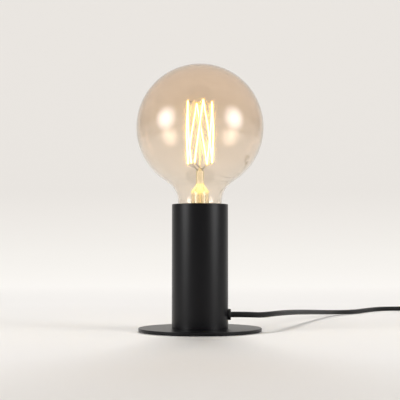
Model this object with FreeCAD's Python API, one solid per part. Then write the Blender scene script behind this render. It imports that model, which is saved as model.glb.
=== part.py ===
import FreeCAD
import Part
import math
import os

# A bare bulb table lamp: a round steel base, a plain steel cylinder that hides the lamp holder,
# a large clear globe lamp, and a textile cord with an in-line rocker switch and a two-pin plug.
# Millimetres, +Z up. The origin is the centre of the base, on the table. The cord leaves along +X.

V = FreeCAD.Vector
UP = V(0, 0, 1)

# ---------------------------------------------------------------- driving dimensions
# Fits
SLIP = 0.05                  # gap on each side of a metal piece set in another
EASY = 0.15                  # gap on each side of a moulded piece set in another
HAIR = 0.02                  # gap round a wire that is sealed in glass

# Base plate and foot
BASE_DIAMETER = 120.0
BASE_THICKNESS = 3.0
BASE_EDGE_ROUND = 0.4
PAD_THICKNESS = 0.6
PAD_INSET = 4.0

# Column
COLUMN_DIAMETER = 55.0
COLUMN_WALL = 1.5
COLUMN_HEIGHT = 120.2
RIM_ROUND = 0.45
FOOT_RING_WIDTH = 7.4
FOOT_RING_HEIGHT = 6.0

# Countersunk screws, M4
SCREW_DIAMETER = 4.0
SCREW_HEAD_DIAMETER = 7.4
SCREW_HOLE_DIAMETER = 4.4
SCREW_RECESS_ACROSS = 2.5
SCREW_RECESS_DEPTH = 1.3
BASE_SCREW_COUNT = 3
NUT_ACROSS_FLATS = 7.0
NUT_HEIGHT = 3.2

# Bracket that carries the lamp holder
BRACKET_WIDTH = 16.0
BRACKET_THICKNESS = 2.0
BRACKET_HEIGHT = 46.4
BRACKET_FLANGE = 9.0

# Threaded entry tube and its nuts
NIPPLE_DIAMETER = 10.0
NIPPLE_BORE = 7.0
NIPPLE_BELOW_WEB = 6.5
JAM_NUT_ACROSS_FLATS = 14.0
JAM_NUT_HEIGHT = 3.0
WASHER_DIAMETER = 17.0
WASHER_THICKNESS = 1.0

# Lamp holder
HOLDER_NECK_DIAMETER = 16.0
HOLDER_NECK_HEIGHT = 8.0
HOLDER_DOME_HEIGHT = 12.0
HOLDER_DIAMETER = 41.0
HOLDER_SKIRT_DIAMETER = 36.0
HOLDER_WALL = 2.2
HOLDER_HEIGHT = 40.0
BLOCK_DIAMETER = 32.0
BLOCK_HEIGHT = 10.8
BLOCK_POCKET_DIAMETER = 15.0
BLOCK_POCKET_DEPTH = 3.0
TERMINAL_SPACING = 18.0
TERMINAL_SCREW_DIAMETER = 3.0
SHELL_WALL = 0.95
SHELL_HEIGHT = 26.5
SHELL_FLANGE_HOLE = 17.0
CONTACT_STRIP_WIDTH = 5.0
CONTACT_STRIP_THICKNESS = 0.4
GRUB_SCREW_DIAMETER = 3.0

# Screw cap and its thread
THREAD_PITCH = 3.629
CAP_ROOT_DIAMETER = 24.2
CAP_CREST_DIAMETER = 26.1
CAP_SHEET = 0.6
CAP_HEIGHT = 27.0
CAP_THREAD_TURNS = 3.6
THREAD_GAP = 0.3
CAP_INSULATOR_HEIGHT = 6.5
CAP_CONTACT_DIAMETER = 9.5
CAP_CONTACT_HEIGHT = 1.6

# Globe lamp
LAMP_LENGTH = 176.0
GLOBE_DIAMETER = 125.0
GLASS_WALL = 0.9
NECK_DIAMETER = 42.8
NECK_FILLET = 24.0
GLASS_SOCKET_DIAMETER = 22.6
GLASS_IN_CAP = 7.0

# Stem, supports and filament
STEM_TOP_BELOW_CENTRE = 43.0
PRESS_DIAMETER = 7.6
PRESS_HEIGHT = 13.0
FLARE_DIAMETER = 18.0
STEM_GLASS = 1.0
EXHAUST_DIAMETER = 4.0
EXHAUST_BORE = 2.4
ROD_DIAMETER = 1.8
BUTTON_DIAMETER = 4.2
SUPPORT_WIRE = 0.5
LEAD_WIRE = 0.7
LEAD_SPACING = 5.6
CAGE_BOTTOM_DIAMETER = 27.6
CAGE_TOP_DIAMETER = 24.4
CAGE_HEIGHT = 63.0
CAGE_BOTTOM_BELOW_CENTRE = 36.4
CAGE_HOOKS = 4                # at the top
CAGE_TURN_DEG = -75.0
HOOK_GAP = 0.12               # from a support wire's end to the coil
FILAMENT_DIAMETER = 1.2       # over the coil

# Cord, its gland and its grip inside the base
CORD_DIAMETER = 5.5
GLAND_HEIGHT = 12.9          # cord axis above the base plate
GLAND_FLANGE_DIAMETER = 10.8
GLAND_FLANGE = 2.5
GLAND_THREAD_DIAMETER = 8.0
GLAND_LENGTH = 8.5           # thread from the flange inwards
GLAND_NUT_ACROSS_FLATS = 11.0
GLAND_NUT_HEIGHT = 2.6
TAIL_INSIDE = 21.0           # sheathed cord inside the column, from its outer face
GRIP_WIDTH = 6.0
GRIP_SPACING = 12.0
GRIP_SCREW_DIAMETER = 2.5
WIRE_DIAMETER = 2.0

# In-line switch: lies on the table, its cord along Y
SWITCH_LENGTH = 62.0
SWITCH_WIDTH = 24.0
SWITCH_HEIGHT = 15.0
SWITCH_WALL = 1.8
SWITCH_ROUND = 5.0
SWITCH_CORD_HEIGHT = 6.5
SWITCH_X = 292.0
SWITCH_Y = 269.0
ROCKER_LENGTH = 18.0
ROCKER_WIDTH = 11.0
ROCKER_TILT_DEG = 9.0
ROCKER_END_GAP = 1.0
ROCKER_AXLE_DIAMETER = 2.4
ROCKER_AXLE_HEIGHT = 11.0
SWITCH_SCREW_DIAMETER = 2.6
SWITCH_SCREW_SPACING = 42.0    # along the switch
SWITCH_SCREW_SIDE = 7.1        # off its middle

# Plug: two round pins, lies flat on the table and points along +Y
PLUG_WIDTH = 35.0
PLUG_THICKNESS = 14.0
PLUG_LENGTH = 34.0
PLUG_X = 369.5
PLUG_Y = 224.0               # where the cord enters the plug's sleeve
PLUG_SLEEVE_LENGTH = 22.0
PLUG_SLEEVE_DIAMETER = 10.0
PIN_DIAMETER = 4.0
PIN_LENGTH = 19.0
PIN_SPACING = 18.6
PIN_ROOT_DIAMETER = 3.1       # under the collar and in the plug
PIN_ROOT_LENGTH = 7.5         # inside the plug
PIN_COLLAR_DIAMETER = 3.6
PIN_COLLAR_LENGTH = 10.0

# Put-away coil, wound in and out again in two layers
COIL_X = 329.0
COIL_Y = 180.0
COIL_INNER_RADIUS = 23.5
COIL_PITCH = 6.2             # from turn to turn
COIL_CLIMB_INWARD = 2.2      # how far the climbing half turn draws in
COIL_LAYER = 5.95            # from layer to layer
COIL_HALF_TURNS = 5          # in each layer
COIL_FLOOR_GAP = 0.75        # the tie passes under the coil
TIE_WIDTH = 8.0
TIE_THICKNESS = 0.6

# ---------------------------------------------------------------- sizes that follow
BASE_TOP = PAD_THICKNESS + BASE_THICKNESS
BASE_RADIUS = BASE_DIAMETER / 2
COLUMN_RADIUS = COLUMN_DIAMETER / 2
COLUMN_BORE_RADIUS = COLUMN_RADIUS - COLUMN_WALL
COLUMN_TOP = BASE_TOP + COLUMN_HEIGHT
RING_INNER_RADIUS = COLUMN_BORE_RADIUS - SLIP - FOOT_RING_WIDTH
BASE_SCREW_RADIUS = COLUMN_BORE_RADIUS - SLIP - FOOT_RING_WIDTH / 2
BRACKET_LEG_Y = math.sqrt(RING_INNER_RADIUS ** 2 - (BRACKET_WIDTH / 2) ** 2) - 1.0
WEB_TOP = BASE_TOP + BRACKET_HEIGHT
WEB_BOTTOM = WEB_TOP - BRACKET_THICKNESS
BRACKET_SCREW_Y = BRACKET_LEG_Y - BRACKET_THICKNESS - BRACKET_FLANGE / 2
HOLDER_CAP_BOTTOM = WEB_TOP + JAM_NUT_HEIGHT
HOLDER_CAP_TOP = HOLDER_CAP_BOTTOM + HOLDER_NECK_HEIGHT + HOLDER_DOME_HEIGHT
NIPPLE_TOP = HOLDER_CAP_BOTTOM + HOLDER_NECK_HEIGHT + 1.0
HOLDER_TOP = HOLDER_CAP_TOP + HOLDER_HEIGHT
BLOCK_BOTTOM = HOLDER_CAP_TOP + 0.6
BLOCK_TOP = BLOCK_BOTTOM + BLOCK_HEIGHT
SHELL_BORE_RADIUS = CAP_ROOT_DIAMETER / 2 + THREAD_GAP
SHELL_GROOVE_RADIUS = CAP_CREST_DIAMETER / 2 + THREAD_GAP
SHELL_RADIUS = SHELL_GROOVE_RADIUS + SHELL_WALL
SHELL_BOTTOM = BLOCK_TOP
SHELL_TOP = SHELL_BOTTOM + SHELL_HEIGHT
LAMP_TIP = BLOCK_TOP + CAP_CONTACT_HEIGHT
CAP_RIM = LAMP_TIP + CAP_HEIGHT
CAP_THREAD_START = LAMP_TIP + CAP_INSULATOR_HEIGHT + 2.0
GLOBE_RADIUS = GLOBE_DIAMETER / 2
GLOBE_CENTRE = LAMP_TIP + LAMP_LENGTH - GLOBE_RADIUS
STEM_TOP = GLOBE_CENTRE - STEM_TOP_BELOW_CENTRE
PRESS_BOTTOM = STEM_TOP - PRESS_HEIGHT
FLARE_TOP = PRESS_BOTTOM - 7.0
STEM_BOTTOM = CAP_RIM + 1.2
CAGE_BOTTOM_RADIUS = CAGE_BOTTOM_DIAMETER / 2
CAGE_TOP_RADIUS = CAGE_TOP_DIAMETER / 2
CAGE_BOTTOM = GLOBE_CENTRE - CAGE_BOTTOM_BELOW_CENTRE
CAGE_TOP = CAGE_BOTTOM + CAGE_HEIGHT
CORD_RADIUS = CORD_DIAMETER / 2
CORD_AXIS = BASE_TOP + GLAND_HEIGHT
GLAND_FACE_X = COLUMN_RADIUS + GLAND_FLANGE
TAIL_END_X = COLUMN_RADIUS - TAIL_INSIDE
GRIP_X = TAIL_END_X + GRIP_WIDTH / 2 + 1.5
SWITCH_END_HIGH = SWITCH_Y + SWITCH_LENGTH / 2
SWITCH_END_LOW = SWITCH_Y - SWITCH_LENGTH / 2
COIL_OUTER_RADIUS = COIL_INNER_RADIUS + COIL_HALF_TURNS * COIL_PITCH / 2
COIL_LOW = CORD_RADIUS + COIL_FLOOR_GAP
COIL_HIGH = COIL_LOW + COIL_LAYER
PLUG_AXIS = PLUG_THICKNESS / 2

# The free cord's route, chosen point by point: from the gland down to the table and along it to
# the switch, from the switch to the coil, and from the coil to the plug.
RUN_POINTS = [
    (30.0, 0.0, 16.5), (45.0, 0.0, 16.5), (60.0, 4.0, 15.6), (72.5, 16.0, 16.2),
    (83.0, 40.0, 15.6), (98.0, 82.0, 13.8), (119.6, 145.0, 10.3), (144.2, 208.0, 6.4),
    (165.0, 252.0, 3.7), (190.0, 274.0, 2.75), (209.0, 305.0, 2.75), (229.0, 337.5, 2.75),
    (245.0, 350.0, 2.75), (267.0, 350.0, 2.75), (284.5, 336.5, 4.0), (292.0, 316.0, 6.5),
    (292.0, 295.0, 6.5),
]
LINK_POINTS = [
    (292.0, 243.0, 6.5), (292.0, 231.0, 6.5), (292.5, 214.0, 4.6), (290.0, 198.0, 3.5),
    (290.0, 185.5, 3.5),
]
END_POINTS = [
    (368.0, 185.5, 9.45), (368.0, 197.0, 9.45), (369.5, 212.0, 7.0), (369.5, 224.0, 7.0),
]


# ---------------------------------------------------------------- building blocks
def save(node, shape):
    """Write one sub-part."""
    shape.exportStep("parts/" + node + ".step")


def joined(shapes):
    """One solid from overlapping ones."""
    return shapes[0].multiFuse(shapes[1:]).removeSplitter()


def rod(radius, low, high):
    """A solid cylinder from one point to another."""
    along = high - low
    return Part.makeCylinder(radius, along.Length, low, along)


def drum(radius, low_z, high_z, x=0.0, y=0.0):
    """An upright solid cylinder."""
    return Part.makeCylinder(radius, high_z - low_z, V(x, y, low_z))


def collar(outer_radius, inner_radius, low_z, high_z, x=0.0, y=0.0):
    """An upright ring."""
    return drum(outer_radius, low_z, high_z, x, y).cut(
        drum(inner_radius, low_z - 1, high_z + 1, x, y))


def block(x_low, x_high, y_low, y_high, z_low, z_high):
    """A box between two corners."""
    return Part.makeBox(x_high - x_low, y_high - y_low, z_high - z_low, V(x_low, y_low, z_low))


def hexagon(across_flats, low_z, high_z, x=0.0, y=0.0):
    """An upright hexagonal prism."""
    corner = across_flats / math.sqrt(3)
    points = [V(x + corner * math.cos(math.radians(60 * k)),
                y + corner * math.sin(math.radians(60 * k)), low_z) for k in range(7)]
    return Part.Face(Part.makePolygon(points)).extrude(UP * (high_z - low_z))


def outline_edges(path):
    """Edges through (radius, height) points; a third entry is the middle of an arc to the point."""
    edges = []
    last = None
    for item in path:
        here = V(item[0], 0, item[1])
        if last is not None and len(item) == 4:
            edges.append(Part.Arc(last, V(item[2], 0, item[3]), here).toShape())
        elif last is not None:
            edges.append(Part.LineSegment(last, here).toShape())
        last = here
    return edges


def turned(path):
    """A closed outline in the XZ plane, turned about Z. (r, z) is a line, (r, z, mid r, mid z) an arc."""
    edges = outline_edges(path + [path[0][:2]])
    solid = Part.Face(Part.Wire(edges)).revolve(V(0, 0, 0), UP, 360)
    return solid


def rounded_box(x_low, x_high, y_low, y_high, z_low, z_high, upright, rim=0.0, foot=0.0):
    """A box with rounded upright edges and, if asked, rounded top and bottom rims."""
    solid = block(x_low, x_high, y_low, y_high, z_low, z_high)
    posts = [e for e in solid.Edges if abs(e.tangentAt(e.FirstParameter).z) > 0.9]
    solid = solid.makeFillet(upright, posts)
    for height, radius in ((z_high, rim), (z_low, foot)):
        if radius > 0:
            ring = [e for e in solid.Edges if abs(e.BoundBox.ZMin - height) < 1e-6
                    and abs(e.BoundBox.ZMax - height) < 1e-6]
            solid = solid.makeFillet(radius, ring)
    return solid


def lying(shape, x, y, z):
    """Turn a shape built upright about Z so that it lies along +X, and move its origin."""
    shape.rotate(V(0, 0, 0), V(0, 1, 0), 90)
    shape.translate(V(x, y, z))
    return shape


def tangent_arc(start, corner, end):
    """The arc that leaves start and reaches end along the two equal legs that meet at corner."""
    middle = (start + end) * 0.5
    leg = (corner - start).Length
    half_turn = math.pi / 2 - math.asin(min(1.0, (middle - start).Length / leg))
    radius = leg / math.tan(half_turn)
    reach = math.hypot(radius, leg) - radius
    towards = middle - corner
    towards.normalize()
    return Part.Arc(start, corner + towards * reach, end).toShape(), radius


def route_path(points):
    """Straight runs joined by tangent arcs, each as large as its two runs allow."""
    nodes = [V(*p) for p in points]
    edges = []
    radii = []
    last = nodes[0]
    for before, here, after in zip(nodes, nodes[1:], nodes[2:]):
        step_in = here - before
        step_out = after - here
        leg = 0.45 * min(step_in.Length, step_out.Length)
        step_in.normalize()
        step_out.normalize()
        begin = here - step_in * leg
        end = here + step_out * leg
        arc, radius = tangent_arc(begin, here, end)
        edges.append(Part.LineSegment(last, begin).toShape())
        edges.append(arc)
        radii.append(radius)
        last = end
    edges.append(Part.LineSegment(last, nodes[-1]).toShape())
    return Part.Wire(edges), radii


def tube_along(path, radius):
    """A round bar swept along a wire."""
    first = path.Edges[0]
    start = first.valueAt(first.FirstParameter)
    heading = first.tangentAt(first.FirstParameter)
    circle = Part.Wire(Part.makeCircle(radius, start, heading))
    return path.makePipeShell([circle], True, False)


def bent_bar(points, radius, name):
    """A bar along a route; prints its bends and its volume against section times length."""
    path, radii = route_path(points)
    solid = tube_along(path, radius)
    section = math.pi * radius ** 2
    print(name, "radii", [round(r, 1) for r in radii], "length", round(path.Length, 1),
          "volume ratio", round(solid.Volume / (section * path.Length), 5))
    return solid


# ---------------------------------------------------------------- fasteners
def countersunk_screw(x, y, low_z, high_z):
    """A flat-headed screw, head down, with a hexagon recess."""
    head = SCREW_HEAD_DIAMETER / 2
    shank = SCREW_DIAMETER / 2
    screw = turned([(0, 0), (head, 0), (head, 0.3), (shank, 0.3 + head - shank),
                    (shank, high_z - low_z - 0.4), (shank - 0.4, high_z - low_z),
                    (0, high_z - low_z)])
    screw = screw.cut(hexagon(SCREW_RECESS_ACROSS, -1, SCREW_RECESS_DEPTH))
    screw.translate(V(x, y, low_z))
    return screw


def countersunk_hole(x, y, low_z, high_z):
    """The hole that a flat-headed screw sits in, through a plate."""
    head = SCREW_HEAD_DIAMETER / 2 + SLIP
    hole = SCREW_HOLE_DIAMETER / 2
    sunk = Part.makeCone(head, hole, head - hole, V(x, y, low_z + 0.3 + SLIP))
    return joined([drum(head, low_z - 1, low_z + 0.3 + SLIP, x, y), sunk,
                   drum(hole, low_z, high_z + 1, x, y)])


def plain_nut(across_flats, hole_radius, low_z, high_z, x=0.0, y=0.0):
    """A hexagon nut."""
    chamfer = turned([(0, low_z), (across_flats / 2, low_z),
                      (across_flats / math.sqrt(3) + 0.1, low_z + 0.5),
                      (across_flats / math.sqrt(3) + 0.1, high_z - 0.5),
                      (across_flats / 2, high_z), (0, high_z)])
    chamfer.translate(V(x, y, 0))
    nut = hexagon(across_flats, low_z, high_z, x, y).common(chamfer)
    return nut.cut(drum(hole_radius, low_z - 1, high_z + 1, x, y))


def base_screw_places():
    """Centres of the screws that hold the column to the base."""
    places = []
    for k in range(BASE_SCREW_COUNT):
        angle = math.radians(60 + 360.0 * k / BASE_SCREW_COUNT)
        places.append((BASE_SCREW_RADIUS * math.cos(angle), BASE_SCREW_RADIUS * math.sin(angle)))
    return places


def bracket_screw_places():
    """Centres of the screws that hold the bracket to the base."""
    return [(0.0, BRACKET_SCREW_Y), (0.0, -BRACKET_SCREW_Y)]


# ---------------------------------------------------------------- base and column
def foot_pad():
    """Thin rubber disc under the base."""
    return drum(BASE_RADIUS - PAD_INSET, 0, PAD_THICKNESS)


def base_plate():
    """Round steel plate with countersunk holes from below."""
    plate = drum(BASE_RADIUS, PAD_THICKNESS, BASE_TOP)
    rims = [e for e in plate.Edges if abs(e.BoundBox.ZMax - e.BoundBox.ZMin) < 1e-6]
    plate = plate.makeFillet(BASE_EDGE_ROUND, rims)
    holes = [countersunk_hole(x, y, PAD_THICKNESS, BASE_TOP)
             for x, y in base_screw_places() + bracket_screw_places()]
    return plate.cut(holes)


def foot_ring():
    """Ring inside the foot of the column, tapped for the base screws."""
    ring = collar(COLUMN_BORE_RADIUS - SLIP, RING_INNER_RADIUS, BASE_TOP, BASE_TOP + FOOT_RING_HEIGHT)
    holes = [drum(SCREW_DIAMETER / 2 + SLIP, BASE_TOP - 1, BASE_TOP + FOOT_RING_HEIGHT + 1, x, y)
             for x, y in base_screw_places()]
    return ring.cut(holes)


def base_screws():
    """The screws that hold the column to the base."""
    top = BASE_TOP + FOOT_RING_HEIGHT - 1.0
    return Part.makeCompound([countersunk_screw(x, y, PAD_THICKNESS, top)
                              for x, y in base_screw_places()])


def column_tube():
    """The steel cylinder, open at the top, with the cord's hole low on its side."""
    tube = collar(COLUMN_RADIUS, COLUMN_BORE_RADIUS, BASE_TOP, COLUMN_TOP)
    rims = [e for e in tube.Edges if abs(e.BoundBox.ZMin - COLUMN_TOP) < 1e-6
            and abs(e.BoundBox.ZMax - COLUMN_TOP) < 1e-6]
    tube = tube.makeFillet(RIM_ROUND, rims)
    hole = rod(GLAND_THREAD_DIAMETER / 2 + SLIP, V(COLUMN_BORE_RADIUS - 3, 0, CORD_AXIS),
               V(COLUMN_RADIUS + 3, 0, CORD_AXIS))
    return tube.cut(hole)


# ---------------------------------------------------------------- bracket and entry tube
def holder_bracket():
    """Bent steel strap: two feet on the base, two legs, and a web with the entry tube's hole."""
    t = BRACKET_THICKNESS
    leg = BRACKET_LEG_Y
    foot = leg - t - BRACKET_FLANGE
    half = BRACKET_WIDTH / 2
    outside = block(-half, half, -leg, leg, BASE_TOP, WEB_TOP)
    inside = block(-half - 1, half + 1, t - leg, leg - t, BASE_TOP + t, WEB_BOTTOM)
    gap = block(-half - 1, half + 1, -foot, foot, BASE_TOP - 1, BASE_TOP + t + 1)
    strap = outside.cut([inside, gap])
    bends = [e for e in strap.Edges if abs(abs(e.BoundBox.YMin) - leg) < 1e-6
             and e.BoundBox.YLength < 1e-6 and e.BoundBox.ZLength < 1e-6]
    strap = strap.makeFillet(t - 0.1, bends)
    holes = [drum(SCREW_DIAMETER / 2 + SLIP, BASE_TOP - 1, BASE_TOP + t + 1, x, y)
             for x, y in bracket_screw_places()]
    holes.append(drum(NIPPLE_DIAMETER / 2 + SLIP, WEB_BOTTOM - 1, WEB_TOP + 1))
    return strap.cut(holes)


def bracket_screws():
    """The screws that hold the bracket's feet."""
    top = BASE_TOP + BRACKET_THICKNESS + NUT_HEIGHT + 0.8
    return Part.makeCompound([countersunk_screw(x, y, PAD_THICKNESS, top)
                              for x, y in bracket_screw_places()])


def bracket_nuts():
    """The nuts on the bracket's feet."""
    low = BASE_TOP + BRACKET_THICKNESS
    return Part.makeCompound([plain_nut(NUT_ACROSS_FLATS, SCREW_DIAMETER / 2 + SLIP, low,
                                        low + NUT_HEIGHT, x, y)
                              for x, y in bracket_screw_places()])


def entry_tube():
    """Threaded brass tube that joins the bracket and the lamp holder and lets the wires through."""
    low = WEB_BOTTOM - NIPPLE_BELOW_WEB
    return collar(NIPPLE_DIAMETER / 2, NIPPLE_BORE / 2, low, NIPPLE_TOP)


def entry_washer():
    """Flat washer under the bracket's web."""
    return collar(WASHER_DIAMETER / 2, NIPPLE_DIAMETER / 2 + SLIP, WEB_BOTTOM - WASHER_THICKNESS,
                  WEB_BOTTOM)


def entry_nuts():
    """Thin nuts below and above the web."""
    below = WEB_BOTTOM - WASHER_THICKNESS
    hole = NIPPLE_DIAMETER / 2 + SLIP
    return Part.makeCompound([
        plain_nut(JAM_NUT_ACROSS_FLATS, hole, below - JAM_NUT_HEIGHT, below),
        plain_nut(JAM_NUT_ACROSS_FLATS, hole, WEB_TOP, WEB_TOP + JAM_NUT_HEIGHT)])


# ---------------------------------------------------------------- lamp holder
def holder_cap():
    """Domed back of the lamp holder: a threaded neck that widens to the holder's rim."""
    bore = NIPPLE_DIAMETER / 2 + SLIP
    neck = HOLDER_NECK_DIAMETER / 2
    rim = HOLDER_DIAMETER / 2
    low = HOLDER_CAP_BOTTOM
    shoulder = low + HOLDER_NECK_HEIGHT
    top = HOLDER_CAP_TOP
    w = HOLDER_WALL
    wide = rim - neck
    cap = turned([
        (bore, low), (neck, low), (neck, shoulder),
        (rim, top - 2, neck + 0.72 * wide, shoulder + 0.24 * (top - 2 - shoulder)),
        (rim, top), (rim - w, top), (rim - w, top - 2),
        (neck + 0.5, shoulder + w, neck + 0.68 * wide - w, shoulder + w + 0.24 * (top - 4 - shoulder)),
        (bore, shoulder + w)])
    grub = rod(GRUB_SCREW_DIAMETER / 2 + SLIP, V(bore - 1, 0, low + HOLDER_NECK_HEIGHT / 2),
               V(neck + 1, 0, low + HOLDER_NECK_HEIGHT / 2))
    return cap.cut(grub)


def holder_grub_screw():
    """Small screw that locks the holder's neck on the entry tube."""
    height = HOLDER_CAP_BOTTOM + HOLDER_NECK_HEIGHT / 2
    start = NIPPLE_DIAMETER / 2 + SLIP
    end = HOLDER_NECK_DIAMETER / 2 + 0.6
    screw = rod(GRUB_SCREW_DIAMETER / 2, V(start, 0, height), V(end, 0, height))
    slot = block(end - 0.8, end + 1, -2, 2, height - 0.3, height + 0.3)
    return screw.cut(slot)


def holder_body():
    """Moulded sleeve of the lamp holder, round the terminal block and the threaded shell."""
    rim = HOLDER_DIAMETER / 2
    skirt = HOLDER_SKIRT_DIAMETER / 2
    room = BLOCK_DIAMETER / 2 + EASY
    bore = SHELL_RADIUS + EASY
    body = turned([
        (room, HOLDER_CAP_TOP), (rim, HOLDER_CAP_TOP), (rim, BLOCK_TOP),
        (skirt, BLOCK_TOP + rim - skirt), (skirt, HOLDER_TOP - 0.8),
        (skirt - 0.8, HOLDER_TOP), (bore + 1.2, HOLDER_TOP), (bore, HOLDER_TOP - 1.2),
        (bore, BLOCK_TOP), (room, BLOCK_TOP)])
    ribs = []
    for k in range(24):
        angle = math.radians(15 * k)
        ribs.append(drum(0.5, BLOCK_BOTTOM + 1.0, BLOCK_TOP - 1.5,
                         (rim + 0.1) * math.cos(angle), (rim + 0.1) * math.sin(angle)))
    return body.cut(ribs)


def terminal_block():
    """Ceramic disc that carries the contacts, with a pocket for the centre strip."""
    body = drum(BLOCK_DIAMETER / 2, BLOCK_BOTTOM, BLOCK_TOP)
    pocket = drum(BLOCK_POCKET_DIAMETER / 2, BLOCK_TOP - BLOCK_POCKET_DEPTH, BLOCK_TOP + 1)
    cuts = [pocket]
    for side in (-1, 1):
        x = side * TERMINAL_SPACING / 2
        cuts.append(drum(TERMINAL_SCREW_DIAMETER / 2 + SLIP, BLOCK_BOTTOM - 1, BLOCK_BOTTOM + 6, x, 0))
        cuts.append(drum(WIRE_DIAMETER / 2 + EASY, BLOCK_BOTTOM - 1, BLOCK_BOTTOM + 4, x, 3.6))
    return body.cut(cuts)


def terminal_screws():
    """Brass screws that hold the wires."""
    screws = []
    for side in (-1, 1):
        x = side * TERMINAL_SPACING / 2
        head = drum(TERMINAL_SCREW_DIAMETER / 2 + 1.0, BLOCK_BOTTOM - 2.0, BLOCK_BOTTOM, x, 0)
        shank = drum(TERMINAL_SCREW_DIAMETER / 2, BLOCK_BOTTOM - 0.5, BLOCK_BOTTOM + 5, x, 0)
        slot = block(x - 4, x + 4, -0.3, 0.3, BLOCK_BOTTOM - 3, BLOCK_BOTTOM - 1.3)
        screws.append(joined([head, shank]).cut(slot))
    return Part.makeCompound(screws)


def strip(points, thickness, width):
    """A flat spring strip: a folded line in the XZ plane, thickened upwards, as wide along Y."""
    upper = [V(p[0], -width / 2, p[1] + thickness) for p in points]
    lower = [V(p[0], -width / 2, p[1]) for p in reversed(points)]
    face = Part.Face(Part.makePolygon(lower + upper + [lower[0]]))
    return face.extrude(V(0, width, 0))


def centre_contact():
    """Sprung strip that the lamp's tip rests on."""
    floor = BLOCK_TOP - BLOCK_POCKET_DEPTH
    t = CONTACT_STRIP_THICKNESS
    half = BLOCK_POCKET_DIAMETER / 2 - 2.5
    top = LAMP_TIP - SLIP - t
    return strip([(-half, floor), (-half + 3, floor), (-1.5, top), (half - 1, top)], t,
                 CONTACT_STRIP_WIDTH)


def threaded_shell():
    """Brass shell with the female thread and a flange on the terminal block."""
    bore = SHELL_BORE_RADIUS
    shell = turned([
        (SHELL_FLANGE_HOLE / 2, SHELL_BOTTOM), (SHELL_RADIUS, SHELL_BOTTOM),
        (SHELL_RADIUS, SHELL_TOP), (SHELL_GROOVE_RADIUS, SHELL_TOP), (bore, SHELL_TOP - 1.0),
        (bore, SHELL_BOTTOM + 0.8), (SHELL_FLANGE_HOLE / 2, SHELL_BOTTOM + 0.8)])
    start = CAP_THREAD_START - 0.5 * THREAD_PITCH
    turns = (SHELL_TOP - start) / THREAD_PITCH + 0.8
    groove = thread_ridge(bore - 0.4, SHELL_GROOVE_RADIUS, THREAD_GAP, start, turns, -180.0)
    return shell.cut(groove)


def thread_ridge(root, crest, wider, start, turns, start_deg):
    """A rounded ridge on a right-handed helix, from below its root radius out to its crest."""
    path = Part.makeHelix(THREAD_PITCH, THREAD_PITCH * turns, crest)
    low = V(root, 0, -1.15 - wider)
    high = V(root, 0, 1.15 + wider)
    bulge = Part.Arc(low, V(crest, 0, 0), high).toShape()
    profile = Part.Wire([bulge, Part.LineSegment(high, low).toShape()])
    ridge = Part.Wire(path).makePipeShell([profile], True, True)
    ridge.rotate(V(0, 0, 0), UP, start_deg)
    ridge.translate(V(0, 0, start))
    return ridge


# ---------------------------------------------------------------- wires inside
def wire(side, far):
    """One insulated core: from the sheath's end, up through the entry tube, to a terminal."""
    r = WIRE_DIAMETER / 2
    x = side * TERMINAL_SPACING / 2
    lift = NIPPLE_BORE / 4
    middle = WEB_BOTTOM - NIPPLE_BELOW_WEB
    points = [(TAIL_END_X, side * (r + 0.1), CORD_AXIS), (TAIL_END_X - 6.5, side * (r + 0.1), CORD_AXIS),
              (side * lift * 0.8 - 2.0, side * 0.5 + far, CORD_AXIS + 12.0),
              (side * lift, 0.0, middle - 6.0), (side * lift, 0.1, NIPPLE_TOP + 1.5),
              (x * 0.75, 2.6, NIPPLE_TOP + 6.0), (x, 3.6, BLOCK_BOTTOM - 2.5),
              (x, 3.6, BLOCK_BOTTOM + 3.5)]
    return points


def wire_live():
    """Brown core."""
    return bent_bar(wire(1, 0.5), WIRE_DIAMETER / 2, "wire_live")


def wire_neutral():
    """Blue core."""
    return bent_bar(wire(-1, -0.5), WIRE_DIAMETER / 2, "wire_neutral")


# ---------------------------------------------------------------- cord entry
def cord_gland():
    """Nylon gland: a round flange outside and a threaded barrel through the column's wall."""
    flange = drum(GLAND_FLANGE_DIAMETER / 2, 0, GLAND_FLANGE)
    rim = [e for e in flange.Edges if abs(e.BoundBox.ZMin - GLAND_FLANGE) < 1e-6]
    flange = flange.makeFillet(0.5, rim)
    barrel = drum(GLAND_THREAD_DIAMETER / 2, -GLAND_LENGTH, 0.5)
    gland = joined([flange, barrel]).cut(drum(CORD_RADIUS + SLIP, -GLAND_LENGTH - 1, GLAND_FLANGE + 1))
    return lying(gland, COLUMN_RADIUS, 0, CORD_AXIS)


def gland_nut():
    """Nut that holds the gland from inside."""
    corner = GLAND_NUT_ACROSS_FLATS / math.sqrt(3)
    seat = math.sqrt(COLUMN_BORE_RADIUS ** 2 - corner ** 2) - COLUMN_RADIUS - SLIP
    nut = plain_nut(GLAND_NUT_ACROSS_FLATS, GLAND_THREAD_DIAMETER / 2 + SLIP,
                    seat - GLAND_NUT_HEIGHT, seat)
    return lying(nut, COLUMN_RADIUS, 0, CORD_AXIS)


def cord_tail():
    """Sheathed cord from the gland's face to the grip."""
    return rod(CORD_RADIUS, V(TAIL_END_X, 0, CORD_AXIS), V(GLAND_FACE_X, 0, CORD_AXIS))


def grip_saddle():
    """Post on the base plate with a trough for the cord."""
    half = GRIP_SPACING / 2 + 3.0
    low = GRIP_X - GRIP_WIDTH / 2
    body = block(low, low + GRIP_WIDTH, -half, half, BASE_TOP, CORD_AXIS - 0.4)
    trough = rod(CORD_RADIUS + SLIP, V(GRIP_X - GRIP_WIDTH, 0, CORD_AXIS),
                 V(GRIP_X + GRIP_WIDTH, 0, CORD_AXIS))
    holes = [drum(GRIP_SCREW_DIAMETER / 2 + SLIP, CORD_AXIS - 9, CORD_AXIS + 2, GRIP_X,
                  side * GRIP_SPACING / 2) for side in (-1, 1)]
    return body.cut([trough] + holes)


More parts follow.
